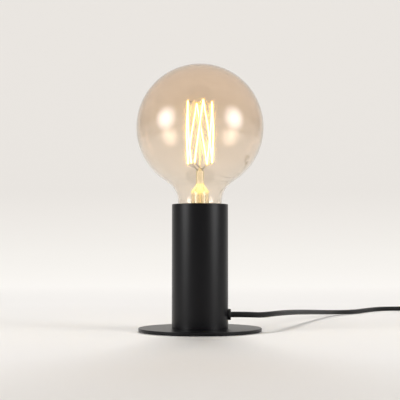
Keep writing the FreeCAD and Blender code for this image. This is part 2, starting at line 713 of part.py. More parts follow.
def grip_strap():
    """Strap screwed down over the cord."""
    half = GRIP_SPACING / 2 + 3.0
    low = GRIP_X - GRIP_WIDTH / 2
    body = block(low, low + GRIP_WIDTH, -half, half, CORD_AXIS + 0.4, CORD_AXIS + 4.4)
    trough = rod(CORD_RADIUS + SLIP, V(GRIP_X - GRIP_WIDTH, 0, CORD_AXIS),
                 V(GRIP_X + GRIP_WIDTH, 0, CORD_AXIS))
    holes = [drum(GRIP_SCREW_DIAMETER / 2 + SLIP, CORD_AXIS - 1, CORD_AXIS + 6, GRIP_X,
                  side * GRIP_SPACING / 2) for side in (-1, 1)]
    return body.cut([trough] + holes)


def grip_screws():
    """The two screws of the cord grip."""
    screws = []
    for side in (-1, 1):
        y = side * GRIP_SPACING / 2
        head = drum(GRIP_SCREW_DIAMETER / 2 + 1.0, CORD_AXIS + 4.4, CORD_AXIS + 6.2, GRIP_X, y)
        shank = drum(GRIP_SCREW_DIAMETER / 2, CORD_AXIS - 8, CORD_AXIS + 5, GRIP_X, y)
        slot = block(GRIP_X - 3, GRIP_X + 3, y - 0.3, y + 0.3, CORD_AXIS + 5.5, CORD_AXIS + 7)
        screws.append(joined([head, shank]).cut(slot))
    return Part.makeCompound(screws)


# ---------------------------------------------------------------- globe lamp
def glass_outline(inset):
    """Half the glass's section, moved inwards by inset, as (r, z) points with arc middles."""
    sphere = GLOBE_RADIUS - inset
    fillet = NECK_FILLET + inset
    neck = NECK_DIAMETER / 2 - inset
    low = GLASS_SOCKET_DIAMETER / 2 - inset
    centre_r = neck + fillet
    drop = math.sqrt((sphere + fillet) ** 2 - centre_r ** 2)
    fillet_z = GLOBE_CENTRE - drop
    share = sphere / (sphere + fillet)
    join = (centre_r * share, GLOBE_CENTRE - drop * share)
    lean = math.atan2(join[1] - fillet_z, centre_r - join[0]) / 2
    mid_fillet = (centre_r - fillet * math.cos(lean), fillet_z + fillet * math.sin(lean))
    start = math.atan2(join[1] - GLOBE_CENTRE, join[0])
    half = (start + math.pi / 2) / 2
    mid_sphere = (sphere * math.cos(half), GLOBE_CENTRE + sphere * math.sin(half))
    rim = CAP_RIM + 0.4
    rise = fillet_z - rim
    path = [(low, CAP_RIM - GLASS_IN_CAP), (low, rim),
            (neck - 1.6, rim + 0.45 * rise, low + 0.62 * (neck - 1.6 - low), rim + 0.2 * rise),
            (neck, fillet_z, neck - 0.45, rim + 0.72 * rise),
            join + mid_fillet,
            (0.0, GLOBE_CENTRE + sphere) + mid_sphere]
    return path


def bulb_glass():
    """Thin blown glass: a globe that runs into a neck through a hollow fillet."""
    outer = outline_edges(glass_outline(0.0))
    inner = outline_edges(glass_outline(GLASS_WALL))
    low = CAP_RIM - GLASS_IN_CAP
    socket = GLASS_SOCKET_DIAMETER / 2
    top = GLOBE_CENTRE + GLOBE_RADIUS
    ends = [Part.LineSegment(V(socket, 0, low), V(socket - GLASS_WALL, 0, low)).toShape(),
            Part.LineSegment(V(0, 0, top), V(0, 0, top - GLASS_WALL)).toShape()]
    section = Part.Face(Part.Wire(Part.__sortEdges__(outer + inner + ends)))
    return section.revolve(V(0, 0, 0), UP, 360)


def cap_shell():
    """Brass screw cap of the lamp, with its male thread and a smooth collar for the glass."""
    root = CAP_ROOT_DIAMETER / 2
    bore = root - CAP_SHEET
    low = LAMP_TIP + CAP_INSULATOR_HEIGHT
    collar_low = CAP_THREAD_START + THREAD_PITCH * (CAP_THREAD_TURNS + 0.5)
    lip = CAP_CREST_DIAMETER / 2
    shell = turned([
        (bore - 1.6, low), (root - 0.8, low), (root, low + 0.8), (root, collar_low),
        (root + 0.15, collar_low + 0.6), (root + 0.15, CAP_RIM - 0.9), (lip, CAP_RIM),
        (lip - CAP_SHEET, CAP_RIM), (bore, CAP_RIM - 0.8), (bore, low + 0.8),
        (bore - 1.6, low + 0.8)])
    ridge = thread_ridge(root - 0.4, CAP_CREST_DIAMETER / 2, 0.0, CAP_THREAD_START,
                         CAP_THREAD_TURNS, 0.0)
    return joined([shell, ridge])


def cap_insulator():
    """Black glass between the screw cap and the tip."""
    low = LAMP_TIP + CAP_CONTACT_HEIGHT
    high = LAMP_TIP + CAP_INSULATOR_HEIGHT
    wide = CAP_ROOT_DIAMETER / 2 - 0.9
    hole = EXHAUST_DIAMETER / 2 + 0.3
    return turned([(hole, low), (CAP_CONTACT_DIAMETER / 2 + 0.6, low), (wide, high - 0.6),
                   (wide, high - SLIP), (hole, high - SLIP)])


def cap_contact():
    """Solder-topped brass eyelet at the tip."""
    r = CAP_CONTACT_DIAMETER / 2
    high = LAMP_TIP + CAP_CONTACT_HEIGHT
    return turned([(0, LAMP_TIP), (r, LAMP_TIP + 0.9, r * 0.62, LAMP_TIP + 0.22),
                   (r, high - SLIP), (0, high - SLIP)])


def lead_path(side):
    """One lead from the cap's inside, through the stem, to the cage's bottom ring."""
    x = side * LEAD_SPACING / 2
    wide = side * (FLARE_DIAMETER / 2 - STEM_GLASS - 2.6)
    end_angle = math.radians(CAGE_TURN_DEG + (0.5 + CAGE_HOOKS - 1 + 0.09 * side) * 360.0 / CAGE_HOOKS)
    reach = CAGE_BOTTOM_RADIUS - FILAMENT_DIAMETER
    return [(wide, 0.0, CAP_RIM - 10.0), (wide, 0.0, FLARE_TOP - 4.0),
            (x, 0.0, PRESS_BOTTOM + 1.0), (x, 0.0, STEM_TOP + 0.6),
            (0.9 * x, -BUTTON_DIAMETER * 0.8, STEM_TOP + 0.8),
            (reach * math.cos(end_angle), reach * math.sin(end_angle), CAGE_BOTTOM - 0.2)]


def lead_bar(side, radius):
    """A lead, or the room that it takes up in the glass."""
    return tube_along(route_path(lead_path(side))[0], radius)


def lead_wires():
    """The two leads that carry the current to the filament."""
    return Part.makeCompound([lead_bar(side, LEAD_WIRE / 2) for side in (-1, 1)])


def stem_flare():
    """Glass stem: a flared foot sealed to the neck, and the press that the leads pass through."""
    g = STEM_GLASS
    wide = FLARE_DIAMETER / 2
    press = PRESS_DIAMETER / 2
    foot = GLASS_SOCKET_DIAMETER / 2 - GLASS_WALL - EASY
    hole = EXHAUST_DIAMETER / 2 + HAIR
    stem = turned([
        (foot - g, STEM_BOTTOM), (foot, STEM_BOTTOM), (wide + 0.2, STEM_BOTTOM + 3.5),
        (wide, FLARE_TOP), (press + 0.8, PRESS_BOTTOM - 0.6), (press, PRESS_BOTTOM + 0.8),
        (press, STEM_TOP), (0, STEM_TOP), (0, PRESS_BOTTOM - 0.4), (hole, PRESS_BOTTOM - 0.4),
        (hole, PRESS_BOTTOM - 1.6), (press - 0.2, PRESS_BOTTOM - 1.8), (wide - g, FLARE_TOP - 0.4),
        (wide + 0.2 - g, STEM_BOTTOM + 3.7)])
    return stem.cut([lead_bar(side, LEAD_WIRE / 2 + HAIR) for side in (-1, 1)])


def exhaust_tube():
    """Slender glass tube below the press, through which the bulb was emptied."""
    return collar(EXHAUST_DIAMETER / 2, EXHAUST_BORE / 2, CAP_RIM - 14.0, PRESS_BOTTOM - 0.4 - HAIR)


def support_rod():
    """Glass rod up the middle, with a button at each end that the support wires stand in."""
    button = BUTTON_DIAMETER / 2
    r = ROD_DIAMETER / 2
    low = STEM_TOP + HAIR
    high = CAGE_TOP - 1.0
    return turned([(0, low), (button * 0.7, low), (button, low + 1.4), (button * 0.7, low + 2.8),
                   (r, low + 3.4), (r, high - 3.4), (button * 0.7, high - 2.8),
                   (button, high - 1.4), (button * 0.7, high), (0, high)])


def cage_point(step, radius, height):
    """A point round the zigzag cage: step counts half hooks round the ring."""
    angle = math.radians(CAGE_TURN_DEG + step * 180.0 / CAGE_HOOKS)
    return V(radius * math.cos(angle), radius * math.sin(angle), height)


def hook_wires(steps, radius, from_height, to_height):
    """Thin wires from a button to the corners of the cage."""
    start_r = BUTTON_DIAMETER / 2 + 0.2
    end_r = radius - FILAMENT_DIAMETER / 2 - SUPPORT_WIRE / 2 - HOOK_GAP
    wires = []
    for step in steps:
        inner = cage_point(step, start_r, from_height)
        outer = cage_point(step, end_r, to_height)
        wires.append(rod(SUPPORT_WIRE / 2, inner, outer))
    return Part.makeCompound(wires)


def upper_supports():
    """Support wires at the top of the cage."""
    tops = range(0, 2 * CAGE_HOOKS, 2)
    return hook_wires(tops, CAGE_TOP_RADIUS, CAGE_TOP - 2.4, CAGE_TOP - 0.6)


def lower_supports():
    """Support wires at the bottom of the cage, apart from where the leads come up."""
    bottoms = range(1, 2 * CAGE_HOOKS - 1, 2)
    return hook_wires(bottoms, CAGE_BOTTOM_RADIUS, STEM_TOP + 1.8, CAGE_BOTTOM + 0.4)


def filament():
    """One fine coil drawn up and down as a squirrel cage, from one lead to the other."""
    r = FILAMENT_DIAMETER / 2
    steps = [-0.82] + list(range(0, 2 * CAGE_HOOKS - 1)) + [2 * CAGE_HOOKS - 1.18]
    corners = []
    for place, step in enumerate(steps):
        if place % 2 == 1:
            corners.append(cage_point(step, CAGE_TOP_RADIUS, CAGE_TOP))
        else:
            corners.append(cage_point(step, CAGE_BOTTOM_RADIUS, CAGE_BOTTOM + 0.6))
    strands = [rod(r, a, b) for a, b in zip(corners, corners[1:])]
    beads = [Part.makeSphere(r, p) for p in corners]
    return joined(strands + beads)


# ---------------------------------------------------------------- free cord and coil
def cord_run():
    """Free cord from the gland to the switch."""
    return bent_bar(RUN_POINTS, CORD_RADIUS, "cord_run")


def cord_link():
    """Free cord from the switch to the coil."""
    return bent_bar(LINK_POINTS, CORD_RADIUS, "cord_link")


def cord_end():
    """Free cord from the coil to the plug."""
    return bent_bar(END_POINTS, CORD_RADIUS, "cord_end")


def coil_stops():
    """Where each half turn of the coil ends, on the line along X through its centre."""
    step = COIL_PITCH / 2
    inwards = [(COIL_OUTER_RADIUS - k * step, COIL_LOW) for k in range(COIL_HALF_TURNS + 1)]
    outwards = [(COIL_INNER_RADIUS + k * step, COIL_HIGH) for k in range(1, COIL_HALF_TURNS + 1)]
    turning = [(COIL_INNER_RADIUS - COIL_CLIMB_INWARD, COIL_HIGH)]
    stops = []
    for k, (reach, height) in enumerate(inwards + turning + outwards):
        side = -1 if k % 2 == 0 else 1
        stops.append(V(COIL_X + side * reach, COIL_Y, height))
    return stops


def coil_path():
    """Half turns as pairs of quarter arcs: inwards on the table, up, and out again on top."""
    stops = coil_stops()
    heading = V(0, -1, 0)
    edges = [Part.LineSegment(stops[0] - heading * CORD_DIAMETER, stops[0]).toShape()]
    for here, after in zip(stops, stops[1:]):
        leg = (after - here).Length / 2
        corner_a = here + heading * leg
        corner_b = after + heading * leg
        middle = (corner_a + corner_b) * 0.5
        edges.append(tangent_arc(here, corner_a, middle)[0])
        edges.append(tangent_arc(middle, corner_b, after)[0])
        heading = heading * -1
    edges.append(Part.LineSegment(stops[-1], stops[-1] + heading * CORD_DIAMETER).toShape())
    return Part.Wire(edges)


def least_gap(path, diameter):
    """The least clear distance of a wound bar to itself, measured on points along its path."""
    points = path.discretize(Distance=2.0)
    apart = int(3 * diameter / 2.0) + 2
    least = 1e9
    for i, a in enumerate(points):
        for b in points[i + apart:]:
            least = min(least, (a - b).Length)
    return least - diameter


def cord_coil():
    """The put-away coil, one unbroken bar."""
    path = coil_path()
    solid = tube_along(path, CORD_RADIUS)
    print("cord_coil length", round(path.Length, 1), "least gap", round(least_gap(path, CORD_DIAMETER), 3),
          "volume ratio", round(solid.Volume / (math.pi * CORD_RADIUS ** 2 * path.Length), 5))
    return solid


def coil_tie():
    """Flat band round the bundle on the side nearest the lamp's front."""
    room = 0.12
    inner = COIL_INNER_RADIUS - CORD_RADIUS - 0.2
    outer = COIL_OUTER_RADIUS - COIL_PITCH / 4 + CORD_RADIUS + 0.25
    low = COIL_LOW - CORD_RADIUS - room
    high = COIL_HIGH + CORD_RADIUS + room
    t = TIE_THICKNESS
    half = TIE_WIDTH / 2
    y_far = COIL_Y - inner
    y_near = COIL_Y - outer
    band = block(COIL_X - half, COIL_X + half, y_near - t, y_far + t, low - t, high + t)
    hole = block(COIL_X - half - 1, COIL_X + half + 1, y_near, y_far, low, high)
    edges = [e for e in band.Edges if e.BoundBox.XLength > TIE_WIDTH - 0.1]
    band = band.makeFillet(1.8, edges)
    inside = [e for e in hole.Edges if e.BoundBox.XLength > TIE_WIDTH]
    return band.cut(hole.makeFillet(1.2, inside))


# ---------------------------------------------------------------- in-line switch
def switch_shell(low, high, top_rim, bottom_rim):
    """A hollow half of the switch, with a trough for the cord at each end."""
    w = SWITCH_WALL
    x0 = SWITCH_X - SWITCH_WIDTH / 2
    x1 = SWITCH_X + SWITCH_WIDTH / 2
    body = rounded_box(x0, x1, SWITCH_END_LOW, SWITCH_END_HIGH, low, high, SWITCH_ROUND, top_rim,
                       bottom_rim)
    floor = low + (w if bottom_rim > 0 else -1)
    ceiling = high - (w if top_rim > 0 else -1)
    room = rounded_box(x0 + w, x1 - w, SWITCH_END_LOW + w, SWITCH_END_HIGH - w, floor, ceiling,
                       SWITCH_ROUND - w)
    cord = rod(CORD_RADIUS + EASY, V(SWITCH_X, SWITCH_END_LOW - 1, SWITCH_CORD_HEIGHT),
               V(SWITCH_X, SWITCH_END_HIGH + 1, SWITCH_CORD_HEIGHT))
    return body.cut([room, cord])


def switch_bosses(low, high, radius):
    """Screw posts at the two ends of the switch."""
    x = SWITCH_SCREW_SIDE
    y = SWITCH_SCREW_SPACING / 2
    return [drum(radius, low, high, SWITCH_X + x, SWITCH_Y + y),
            drum(radius, low, high, SWITCH_X - x, SWITCH_Y - y)]


def switch_base():
    """Lower half of the switch."""
    low = switch_shell(0.0, SWITCH_CORD_HEIGHT - SLIP, 0.0, 1.2)
    posts = switch_bosses(1.0, SWITCH_CORD_HEIGHT - SLIP, SWITCH_SCREW_DIAMETER / 2 + 1.6)
    rests = [block(SWITCH_X + side * 8.0 - 1.0, SWITCH_X + side * 8.0 + 1.0, SWITCH_Y - 2.5,
                   SWITCH_Y + 2.5, 1.0, SWITCH_CORD_HEIGHT - SLIP) for side in (-1, 1)]
    holes = switch_bosses(-1.0, 20.0, SWITCH_SCREW_DIAMETER / 2 + SLIP)
    heads = switch_bosses(-1.0, 2.2, SWITCH_SCREW_DIAMETER / 2 + 1.1)
    return joined([low] + posts + rests).cut(holes + heads)


def switch_cover():
    """Upper half of the switch, with the rocker's window and the axle's two cheeks."""
    top = switch_shell(SWITCH_CORD_HEIGHT, SWITCH_HEIGHT, 2.2, 0.0)
    posts = switch_bosses(SWITCH_CORD_HEIGHT, SWITCH_HEIGHT - 1.0, SWITCH_SCREW_DIAMETER / 2 + 1.6)
    cheeks = []
    for side in (-1, 1):
        x = SWITCH_X + side * (ROCKER_WIDTH / 2 + 1.6)
        cheeks.append(block(x - 1.1, x + 1.1, SWITCH_Y - 4, SWITCH_Y + 4, SWITCH_CORD_HEIGHT + 1.5,
                            SWITCH_HEIGHT - 1.0))
    window = rounded_box(SWITCH_X - ROCKER_WIDTH / 2 - 0.4, SWITCH_X + ROCKER_WIDTH / 2 + 0.4,
                         SWITCH_Y - ROCKER_LENGTH / 2 - ROCKER_END_GAP,
                         SWITCH_Y + ROCKER_LENGTH / 2 + ROCKER_END_GAP,
                         ROCKER_AXLE_HEIGHT - 3.0, SWITCH_HEIGHT + 1, 0.8)
    pilots = switch_bosses(SWITCH_CORD_HEIGHT - 1, SWITCH_HEIGHT - 2.5, SWITCH_SCREW_DIAMETER / 2 + SLIP)
    half = SWITCH_WIDTH / 2 - 3.0
    axle = rod(ROCKER_AXLE_DIAMETER / 2 + SLIP, V(SWITCH_X - half, SWITCH_Y, ROCKER_AXLE_HEIGHT),
               V(SWITCH_X + half, SWITCH_Y, ROCKER_AXLE_HEIGHT))
    return joined([top] + posts + cheeks).cut([window, axle] + pilots)


def switch_axle():
    """Steel pin that the rocker turns on."""
    half = ROCKER_WIDTH / 2 + 2.7
    return rod(ROCKER_AXLE_DIAMETER / 2, V(SWITCH_X - half, SWITCH_Y, ROCKER_AXLE_HEIGHT),
               V(SWITCH_X + half, SWITCH_Y, ROCKER_AXLE_HEIGHT))


def switch_rocker():
    """Rocker with two shallow dished faces, standing tilted to its ON side."""
    half = ROCKER_LENGTH / 2
    lift = SWITCH_HEIGHT + 1.6 - ROCKER_AXLE_HEIGHT
    outline = [(-half + 0.6, -2.0), (half - 0.6, -2.0), (half, lift), (0, lift - 1.3), (-half, lift)]
    points = [V(-ROCKER_WIDTH / 2, y, z) for y, z in outline]
    rocker = Part.Face(Part.makePolygon(points + [points[0]])).extrude(V(ROCKER_WIDTH, 0, 0))
    long_edges = [e for e in rocker.Edges if e.BoundBox.XLength > ROCKER_WIDTH - 0.1
                  and e.BoundBox.ZMax > lift - 0.5]
    rocker = rocker.makeFillet(0.6, long_edges)
    axle = rod(ROCKER_AXLE_DIAMETER / 2 + SLIP, V(-ROCKER_WIDTH, 0, 0), V(ROCKER_WIDTH, 0, 0))
    rocker = rocker.cut(axle)
    rocker.rotate(V(0, 0, 0), V(1, 0, 0), -ROCKER_TILT_DEG)
    rocker.translate(V(SWITCH_X, SWITCH_Y, ROCKER_AXLE_HEIGHT))
    return rocker


def switch_contacts():
    """Two brass terminals under the rocker."""
    pieces = []
    for side in (-1, 1):
        y = SWITCH_Y + side * 10.0
        foot = block(SWITCH_X - 3.5, SWITCH_X + 3.5, y - 4.0, y + 4.0, SWITCH_WALL, SWITCH_WALL + 0.8)
        riser = block(SWITCH_X - 2.5, SWITCH_X + 2.5, y - side * 4.0 - 0.4, y - side * 4.0 + 0.4,
                      SWITCH_WALL, ROCKER_AXLE_HEIGHT - 5.0)
        pieces.append(joined([foot, riser]))
    return Part.makeCompound(pieces)


def switch_screws():
    """The two screws that close the switch from below."""
    screws = []
    heads = switch_bosses(0.6, 2.2 - SLIP, SWITCH_SCREW_DIAMETER / 2 + 1.0)
    shanks = switch_bosses(1.0, SWITCH_HEIGHT - 3.5, SWITCH_SCREW_DIAMETER / 2)
    for head, shank in zip(heads, shanks):
        middle = head.BoundBox.Center
        slot = block(middle.x - 3, middle.x + 3, middle.y - 0.3, middle.y + 0.3, -1, 1.1)
        screws.append(joined([head, shank]).cut(slot))
    return Part.makeCompound(screws)


# ---------------------------------------------------------------- plug
def plug_body():
    """Flat moulded plug: wide at the pins, drawn in to the cord."""
    half = PLUG_WIDTH / 2
    back = PLUG_Y + PLUG_SLEEVE_LENGTH
    front = back + PLUG_LENGTH
    waist = PLUG_SLEEVE_DIAMETER / 2 + 1.2
    t = PLUG_THICKNESS
    points = [V(PLUG_X + waist, back, 0), V(PLUG_X + half * 0.82, back + PLUG_LENGTH * 0.36, 0),
              V(PLUG_X + half, front - 4.0, 0), V(PLUG_X + half, front, 0),
              V(PLUG_X - half, front, 0), V(PLUG_X - half, front - 4.0, 0),
              V(PLUG_X - half * 0.82, back + PLUG_LENGTH * 0.36, 0), V(PLUG_X - waist, back, 0)]
    body = Part.Face(Part.makePolygon(points + [points[0]])).extrude(UP * t)
    rims = [e for e in body.Edges if e.BoundBox.ZLength < 1e-6 and e.BoundBox.YMin < front - 1]
    body = body.makeFillet(2.6, rims)
    depth = PIN_ROOT_LENGTH + SLIP
    holes = [rod(PIN_ROOT_DIAMETER / 2 + SLIP, V(PLUG_X + s * PIN_SPACING / 2, front - depth, PLUG_AXIS),
                 V(PLUG_X + s * PIN_SPACING / 2, front + 1, PLUG_AXIS)) for s in (-1, 1)]
    return body.cut(holes)


def plug_sleeve():
    """Ribbed, tapering sleeve that keeps the cord from kinking at the plug."""
    r_end = CORD_RADIUS + 0.9
    r_root = PLUG_SLEEVE_DIAMETER / 2
    n = 5
    sleeve = Part.makeCone(r_end, r_root, PLUG_SLEEVE_LENGTH)
    grooves = []
    for k in range(n):
        z = (k + 0.7) * PLUG_SLEEVE_LENGTH / n
        outer = r_end + (r_root - r_end) * z / PLUG_SLEEVE_LENGTH
        grooves.append(collar(outer + 2, outer - 0.7, z, z + 1.3))
    sleeve = sleeve.cut(grooves)
    sleeve.rotate(V(0, 0, 0), V(1, 0, 0), -90)
    sleeve.translate(V(PLUG_X, PLUG_Y, PLUG_AXIS))
    return sleeve


def plug_pins():
    """Two round pins with rounded tips, turned down where the collars sit."""
    front = PLUG_Y + PLUG_SLEEVE_LENGTH + PLUG_LENGTH
    r = PIN_DIAMETER / 2
    root = PIN_ROOT_DIAMETER / 2
    pins = []
    for side in (-1, 1):
        pin = turned([(0, -PIN_ROOT_LENGTH), (root, -PIN_ROOT_LENGTH), (root, PIN_COLLAR_LENGTH),
                      (r, PIN_COLLAR_LENGTH),
                      (r, PIN_LENGTH - 1.5), (r - 1.2, PIN_LENGTH, r - 0.3, PIN_LENGTH - 0.5),
                      (0, PIN_LENGTH)])
        pin.rotate(V(0, 0, 0), V(1, 0, 0), -90)
        pin.translate(V(PLUG_X + side * PIN_SPACING / 2, front, PLUG_AXIS))
        pins.append(pin)
    return Part.makeCompound(pins)


def pin_collars():
    """Insulating collars round the roots of the pins."""
    front = PLUG_Y + PLUG_SLEEVE_LENGTH + PLUG_LENGTH
    collars = []
    for side in (-1, 1):
        ring = collar(PIN_COLLAR_DIAMETER / 2, PIN_ROOT_DIAMETER / 2 + SLIP, SLIP,
                      PIN_COLLAR_LENGTH - SLIP)
        ring.rotate(V(0, 0, 0), V(1, 0, 0), -90)
        ring.translate(V(PLUG_X + side * PIN_SPACING / 2, front, PLUG_AXIS))
        collars.append(ring)
    return Part.makeCompound(collars)


# ---------------------------------------------------------------- all sub-parts
NODES = [
    foot_pad, base_plate, base_screws, foot_ring, column_tube,
    holder_bracket, bracket_screws, bracket_nuts, entry_tube, entry_washer, entry_nuts,
    holder_cap, holder_grub_screw, holder_body, terminal_block, terminal_screws,
    centre_contact, threaded_shell, wire_live, wire_neutral,
    cord_gland, gland_nut, cord_tail, grip_saddle, grip_strap, grip_screws,
    bulb_glass, cap_shell, cap_insulator, cap_contact, stem_flare, exhaust_tube,
    support_rod, upper_supports, lower_supports, lead_wires, filament,
    cord_run, cord_link, cord_end, cord_coil, coil_tie,
    switch_base, switch_cover, switch_rocker, switch_axle, switch_contacts, switch_screws,
    plug_body, plug_sleeve, plug_pins, pin_collars,
]


def main():
    """Build every sub-part and write it under its own name."""
    os.makedirs("parts", exist_ok=True)
    for make in NODES:
        shape = make()
        print(make.__name__, "solids", len(shape.Solids), "volume", round(shape.Volume, 1),
              "valid", shape.isValid())
        save(make.__name__, shape)


main()
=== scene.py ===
"""Looks of a bare bulb table lamp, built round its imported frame.

Everything is in metres, +Z up, with the origin at the centre of the base on the table. The cord
leaves the column along +X. Sizes are the same ones as the frame's, written in metres.
"""

import logging
import math
from dataclasses import dataclass
from enum import Enum
from typing import Any, Optional, Sequence, Union

import bpy
import numpy as np
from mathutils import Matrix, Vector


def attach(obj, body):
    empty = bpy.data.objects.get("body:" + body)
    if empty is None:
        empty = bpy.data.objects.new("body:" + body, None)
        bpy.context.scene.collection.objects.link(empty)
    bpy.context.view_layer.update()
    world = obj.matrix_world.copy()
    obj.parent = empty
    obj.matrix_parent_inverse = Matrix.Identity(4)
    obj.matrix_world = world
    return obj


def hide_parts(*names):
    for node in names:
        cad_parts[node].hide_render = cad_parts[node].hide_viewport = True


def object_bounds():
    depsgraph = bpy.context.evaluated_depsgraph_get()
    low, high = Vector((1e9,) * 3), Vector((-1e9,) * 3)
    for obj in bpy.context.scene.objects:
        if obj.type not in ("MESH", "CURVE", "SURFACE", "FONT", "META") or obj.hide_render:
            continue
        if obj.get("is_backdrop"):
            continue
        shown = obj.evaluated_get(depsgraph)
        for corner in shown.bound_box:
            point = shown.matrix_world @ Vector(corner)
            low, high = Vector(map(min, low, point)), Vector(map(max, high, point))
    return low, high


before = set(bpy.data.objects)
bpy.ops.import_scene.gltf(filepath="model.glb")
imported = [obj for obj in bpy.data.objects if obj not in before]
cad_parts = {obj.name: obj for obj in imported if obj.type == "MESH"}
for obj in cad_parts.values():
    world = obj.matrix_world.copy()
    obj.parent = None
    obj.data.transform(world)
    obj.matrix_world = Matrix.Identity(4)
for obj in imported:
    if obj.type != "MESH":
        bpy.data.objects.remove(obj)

LOG = logging.getLogger("lamp")
MM = 0.001
# Share of a lamp's light that one glass face turns away.
GLASS_FACE_LOSS = 0.1

Colour = tuple[float, float, float, float]
Point = tuple[float, float, float]
Value = Union[bpy.types.NodeSocket, float, Sequence[float]]


class Body(Enum):
    """The rigid bodies that the made pieces ride on."""

    ROOT = "root"
    BULB = "bulb"


def linear(hex_code: str) -> Colour:
    """Turn an sRGB hex colour into the linear colour that a shader takes.

    Args:
        hex_code: Six hex digits, with or without a leading hash.

    Returns:
        Linear red, green and blue, and an alpha of 1.
    """
    digits = hex_code.lstrip("#")
    parts = [int(digits[k:k + 2], 16) / 255 for k in (0, 2, 4)]
    red, green, blue = [p / 12.92 if p <= 0.04045 else ((p + 0.055) / 1.055) ** 2.4 for p in parts]
    return (red, green, blue, 1.0)


def add_node(tree: bpy.types.NodeTree, kind: str, inputs: Optional[dict] = None,
             **settings: Any) -> bpy.types.Node:
    """Add a node to a tree, with its settings, its values and its links.

    Args:
        tree: The node tree.
        kind: The node's type name.
        inputs: Input name or number to a value, or to the output socket it is linked to.
        **settings: The node's own attributes.

    Returns:
        The new node.
    """
    node = tree.nodes.new(kind)
    for name, value in settings.items():
        setattr(node, name, value)
    for name, value in (inputs or {}).items():
        if isinstance(value, bpy.types.NodeSocket):
            tree.links.new(value, node.inputs[name])
        else:
            node.inputs[name].default_value = value
    return node


def let_light_through(tree: bpy.types.NodeTree, surface: bpy.types.NodeSocket,
                      tint: bpy.types.NodeSocket) -> None:
    """Let lamps shine straight through thin glass: shadow rays see a tinted clear sheet.

    Args:
        tree: The node tree.
        surface: What all other rays see.
        tint: The glass's colour.
    """
    path = add_node(tree, "ShaderNodeLightPath")
    half = add_node(tree, "ShaderNodeGamma", {"Color": tint, "Gamma": 0.5})
    clear = add_node(tree, "ShaderNodeBsdfTransparent", {"Color": half.outputs["Color"]})
    block = add_node(tree, "ShaderNodeBsdfTransparent", {"Color": (0.0, 0.0, 0.0, 1.0)})
    passed = add_node(tree, "ShaderNodeMixShader", {
        0: GLASS_FACE_LOSS, 1: clear.outputs[0], 2: block.outputs[0]})
    both = add_node(tree, "ShaderNodeMixShader", {
        0: path.outputs["Is Shadow Ray"], 1: surface, 2: passed.outputs[0]})
    output = next(node for node in tree.nodes if node.type == "OUTPUT_MATERIAL")
    tree.links.new(both.outputs[0], output.inputs["Surface"])


# ---------------------------------------------------------------- finishes
@dataclass(frozen=True)
class Finish:
    """What every finish has: a name, a colour and how rough it is.

    Attributes:
        name: The material's name.
        colour: sRGB hex of the surface.
        roughness: Microscopic roughness, 0 to 1.
    """

    name: str
    colour: str
    roughness: float

    def material(self) -> bpy.types.Material:
        """Return this finish's material, made once."""
        made = bpy.data.materials.get(self.name)
        if made is None:
            made = bpy.data.materials.new(self.name)
            made.use_nodes = True
            tree = made.node_tree
            tree.nodes.clear()
            shader = add_node(tree, "ShaderNodeBsdfPrincipled", {
                "Base Color": linear(self.colour), "Roughness": self.roughness})
            add_node(tree, "ShaderNodeOutputMaterial", {"Surface": shader.outputs["BSDF"]})
            self.dress(tree, shader)
        return made

    def dress(self, tree: bpy.types.NodeTree, shader: bpy.types.Node) -> None:
        """Add the finish's own detail; the plain one has none."""


def grain(tree: bpy.types.NodeTree, size_mm: float, depth_mm: float, detail: float = 3.0,
          stretch: Point = (1.0, 1.0, 1.0)) -> tuple[bpy.types.NodeSocket, bpy.types.NodeSocket]:
    """Noise of a real size in the piece's own coordinates, as a value and as a bump.

    Args:
        tree: The node tree.
        size_mm: Distance from one grain to the next.
        depth_mm: Height of the grain.
        detail: Octaves of finer noise.
        stretch: How the grain is scaled along X, Y and Z.

    Returns:
        The noise's value and the bumped normal.
    """
    place = add_node(tree, "ShaderNodeTexCoord")
    mapped = add_node(tree, "ShaderNodeMapping", {"Vector": place.outputs["Object"],
                                                  "Scale": stretch})
    noise = add_node(tree, "ShaderNodeTexNoise", {
        "Vector": mapped.outputs["Vector"], "Scale": 1.0 / (size_mm * MM), "Detail": detail})
    bump = add_node(tree, "ShaderNodeBump", {
        "Height": noise.outputs["Fac"], "Strength": 1.0, "Distance": depth_mm * MM})
    return noise.outputs["Fac"], bump.outputs["Normal"]


def spread(tree: bpy.types.NodeTree, value: bpy.types.NodeSocket, low: float,
           high: float) -> bpy.types.NodeSocket:
    """Map a noise value, mostly between 0.3 and 0.7, onto a range.

    Args:
        tree: The node tree.
        value: The noise.
        low: What 0.3 becomes.
        high: What 0.7 becomes.

    Returns:
        The mapped value.
    """
    mapped = add_node(tree, "ShaderNodeMapRange", {
        "Value": value, "From Min": 0.3, "From Max": 0.7, "To Min": low, "To Max": high})
    return mapped.outputs["Result"]


@dataclass(frozen=True)
class PowderCoat(Finish):
    """Polyester powder baked on steel: satin, with a faint orange peel about 1.5 mm across."""

    gloss: float = 0.24
    peel_mm: float = 1.5
    peel_depth_mm: float = 0.006
    unevenness: float = 0.03

    def dress(self, tree: bpy.types.NodeTree, shader: bpy.types.Node) -> None:
        """Give the coat its orange peel and a slightly uneven sheen."""
        shader.inputs["Specular IOR Level"].default_value = self.gloss
        value, normal = grain(tree, self.peel_mm, self.peel_depth_mm, 2.0)
        tree.links.new(normal, shader.inputs["Normal"])
        tree.links.new(spread(tree, value, self.roughness - self.unevenness,
                              self.roughness + self.unevenness), shader.inputs["Roughness"])


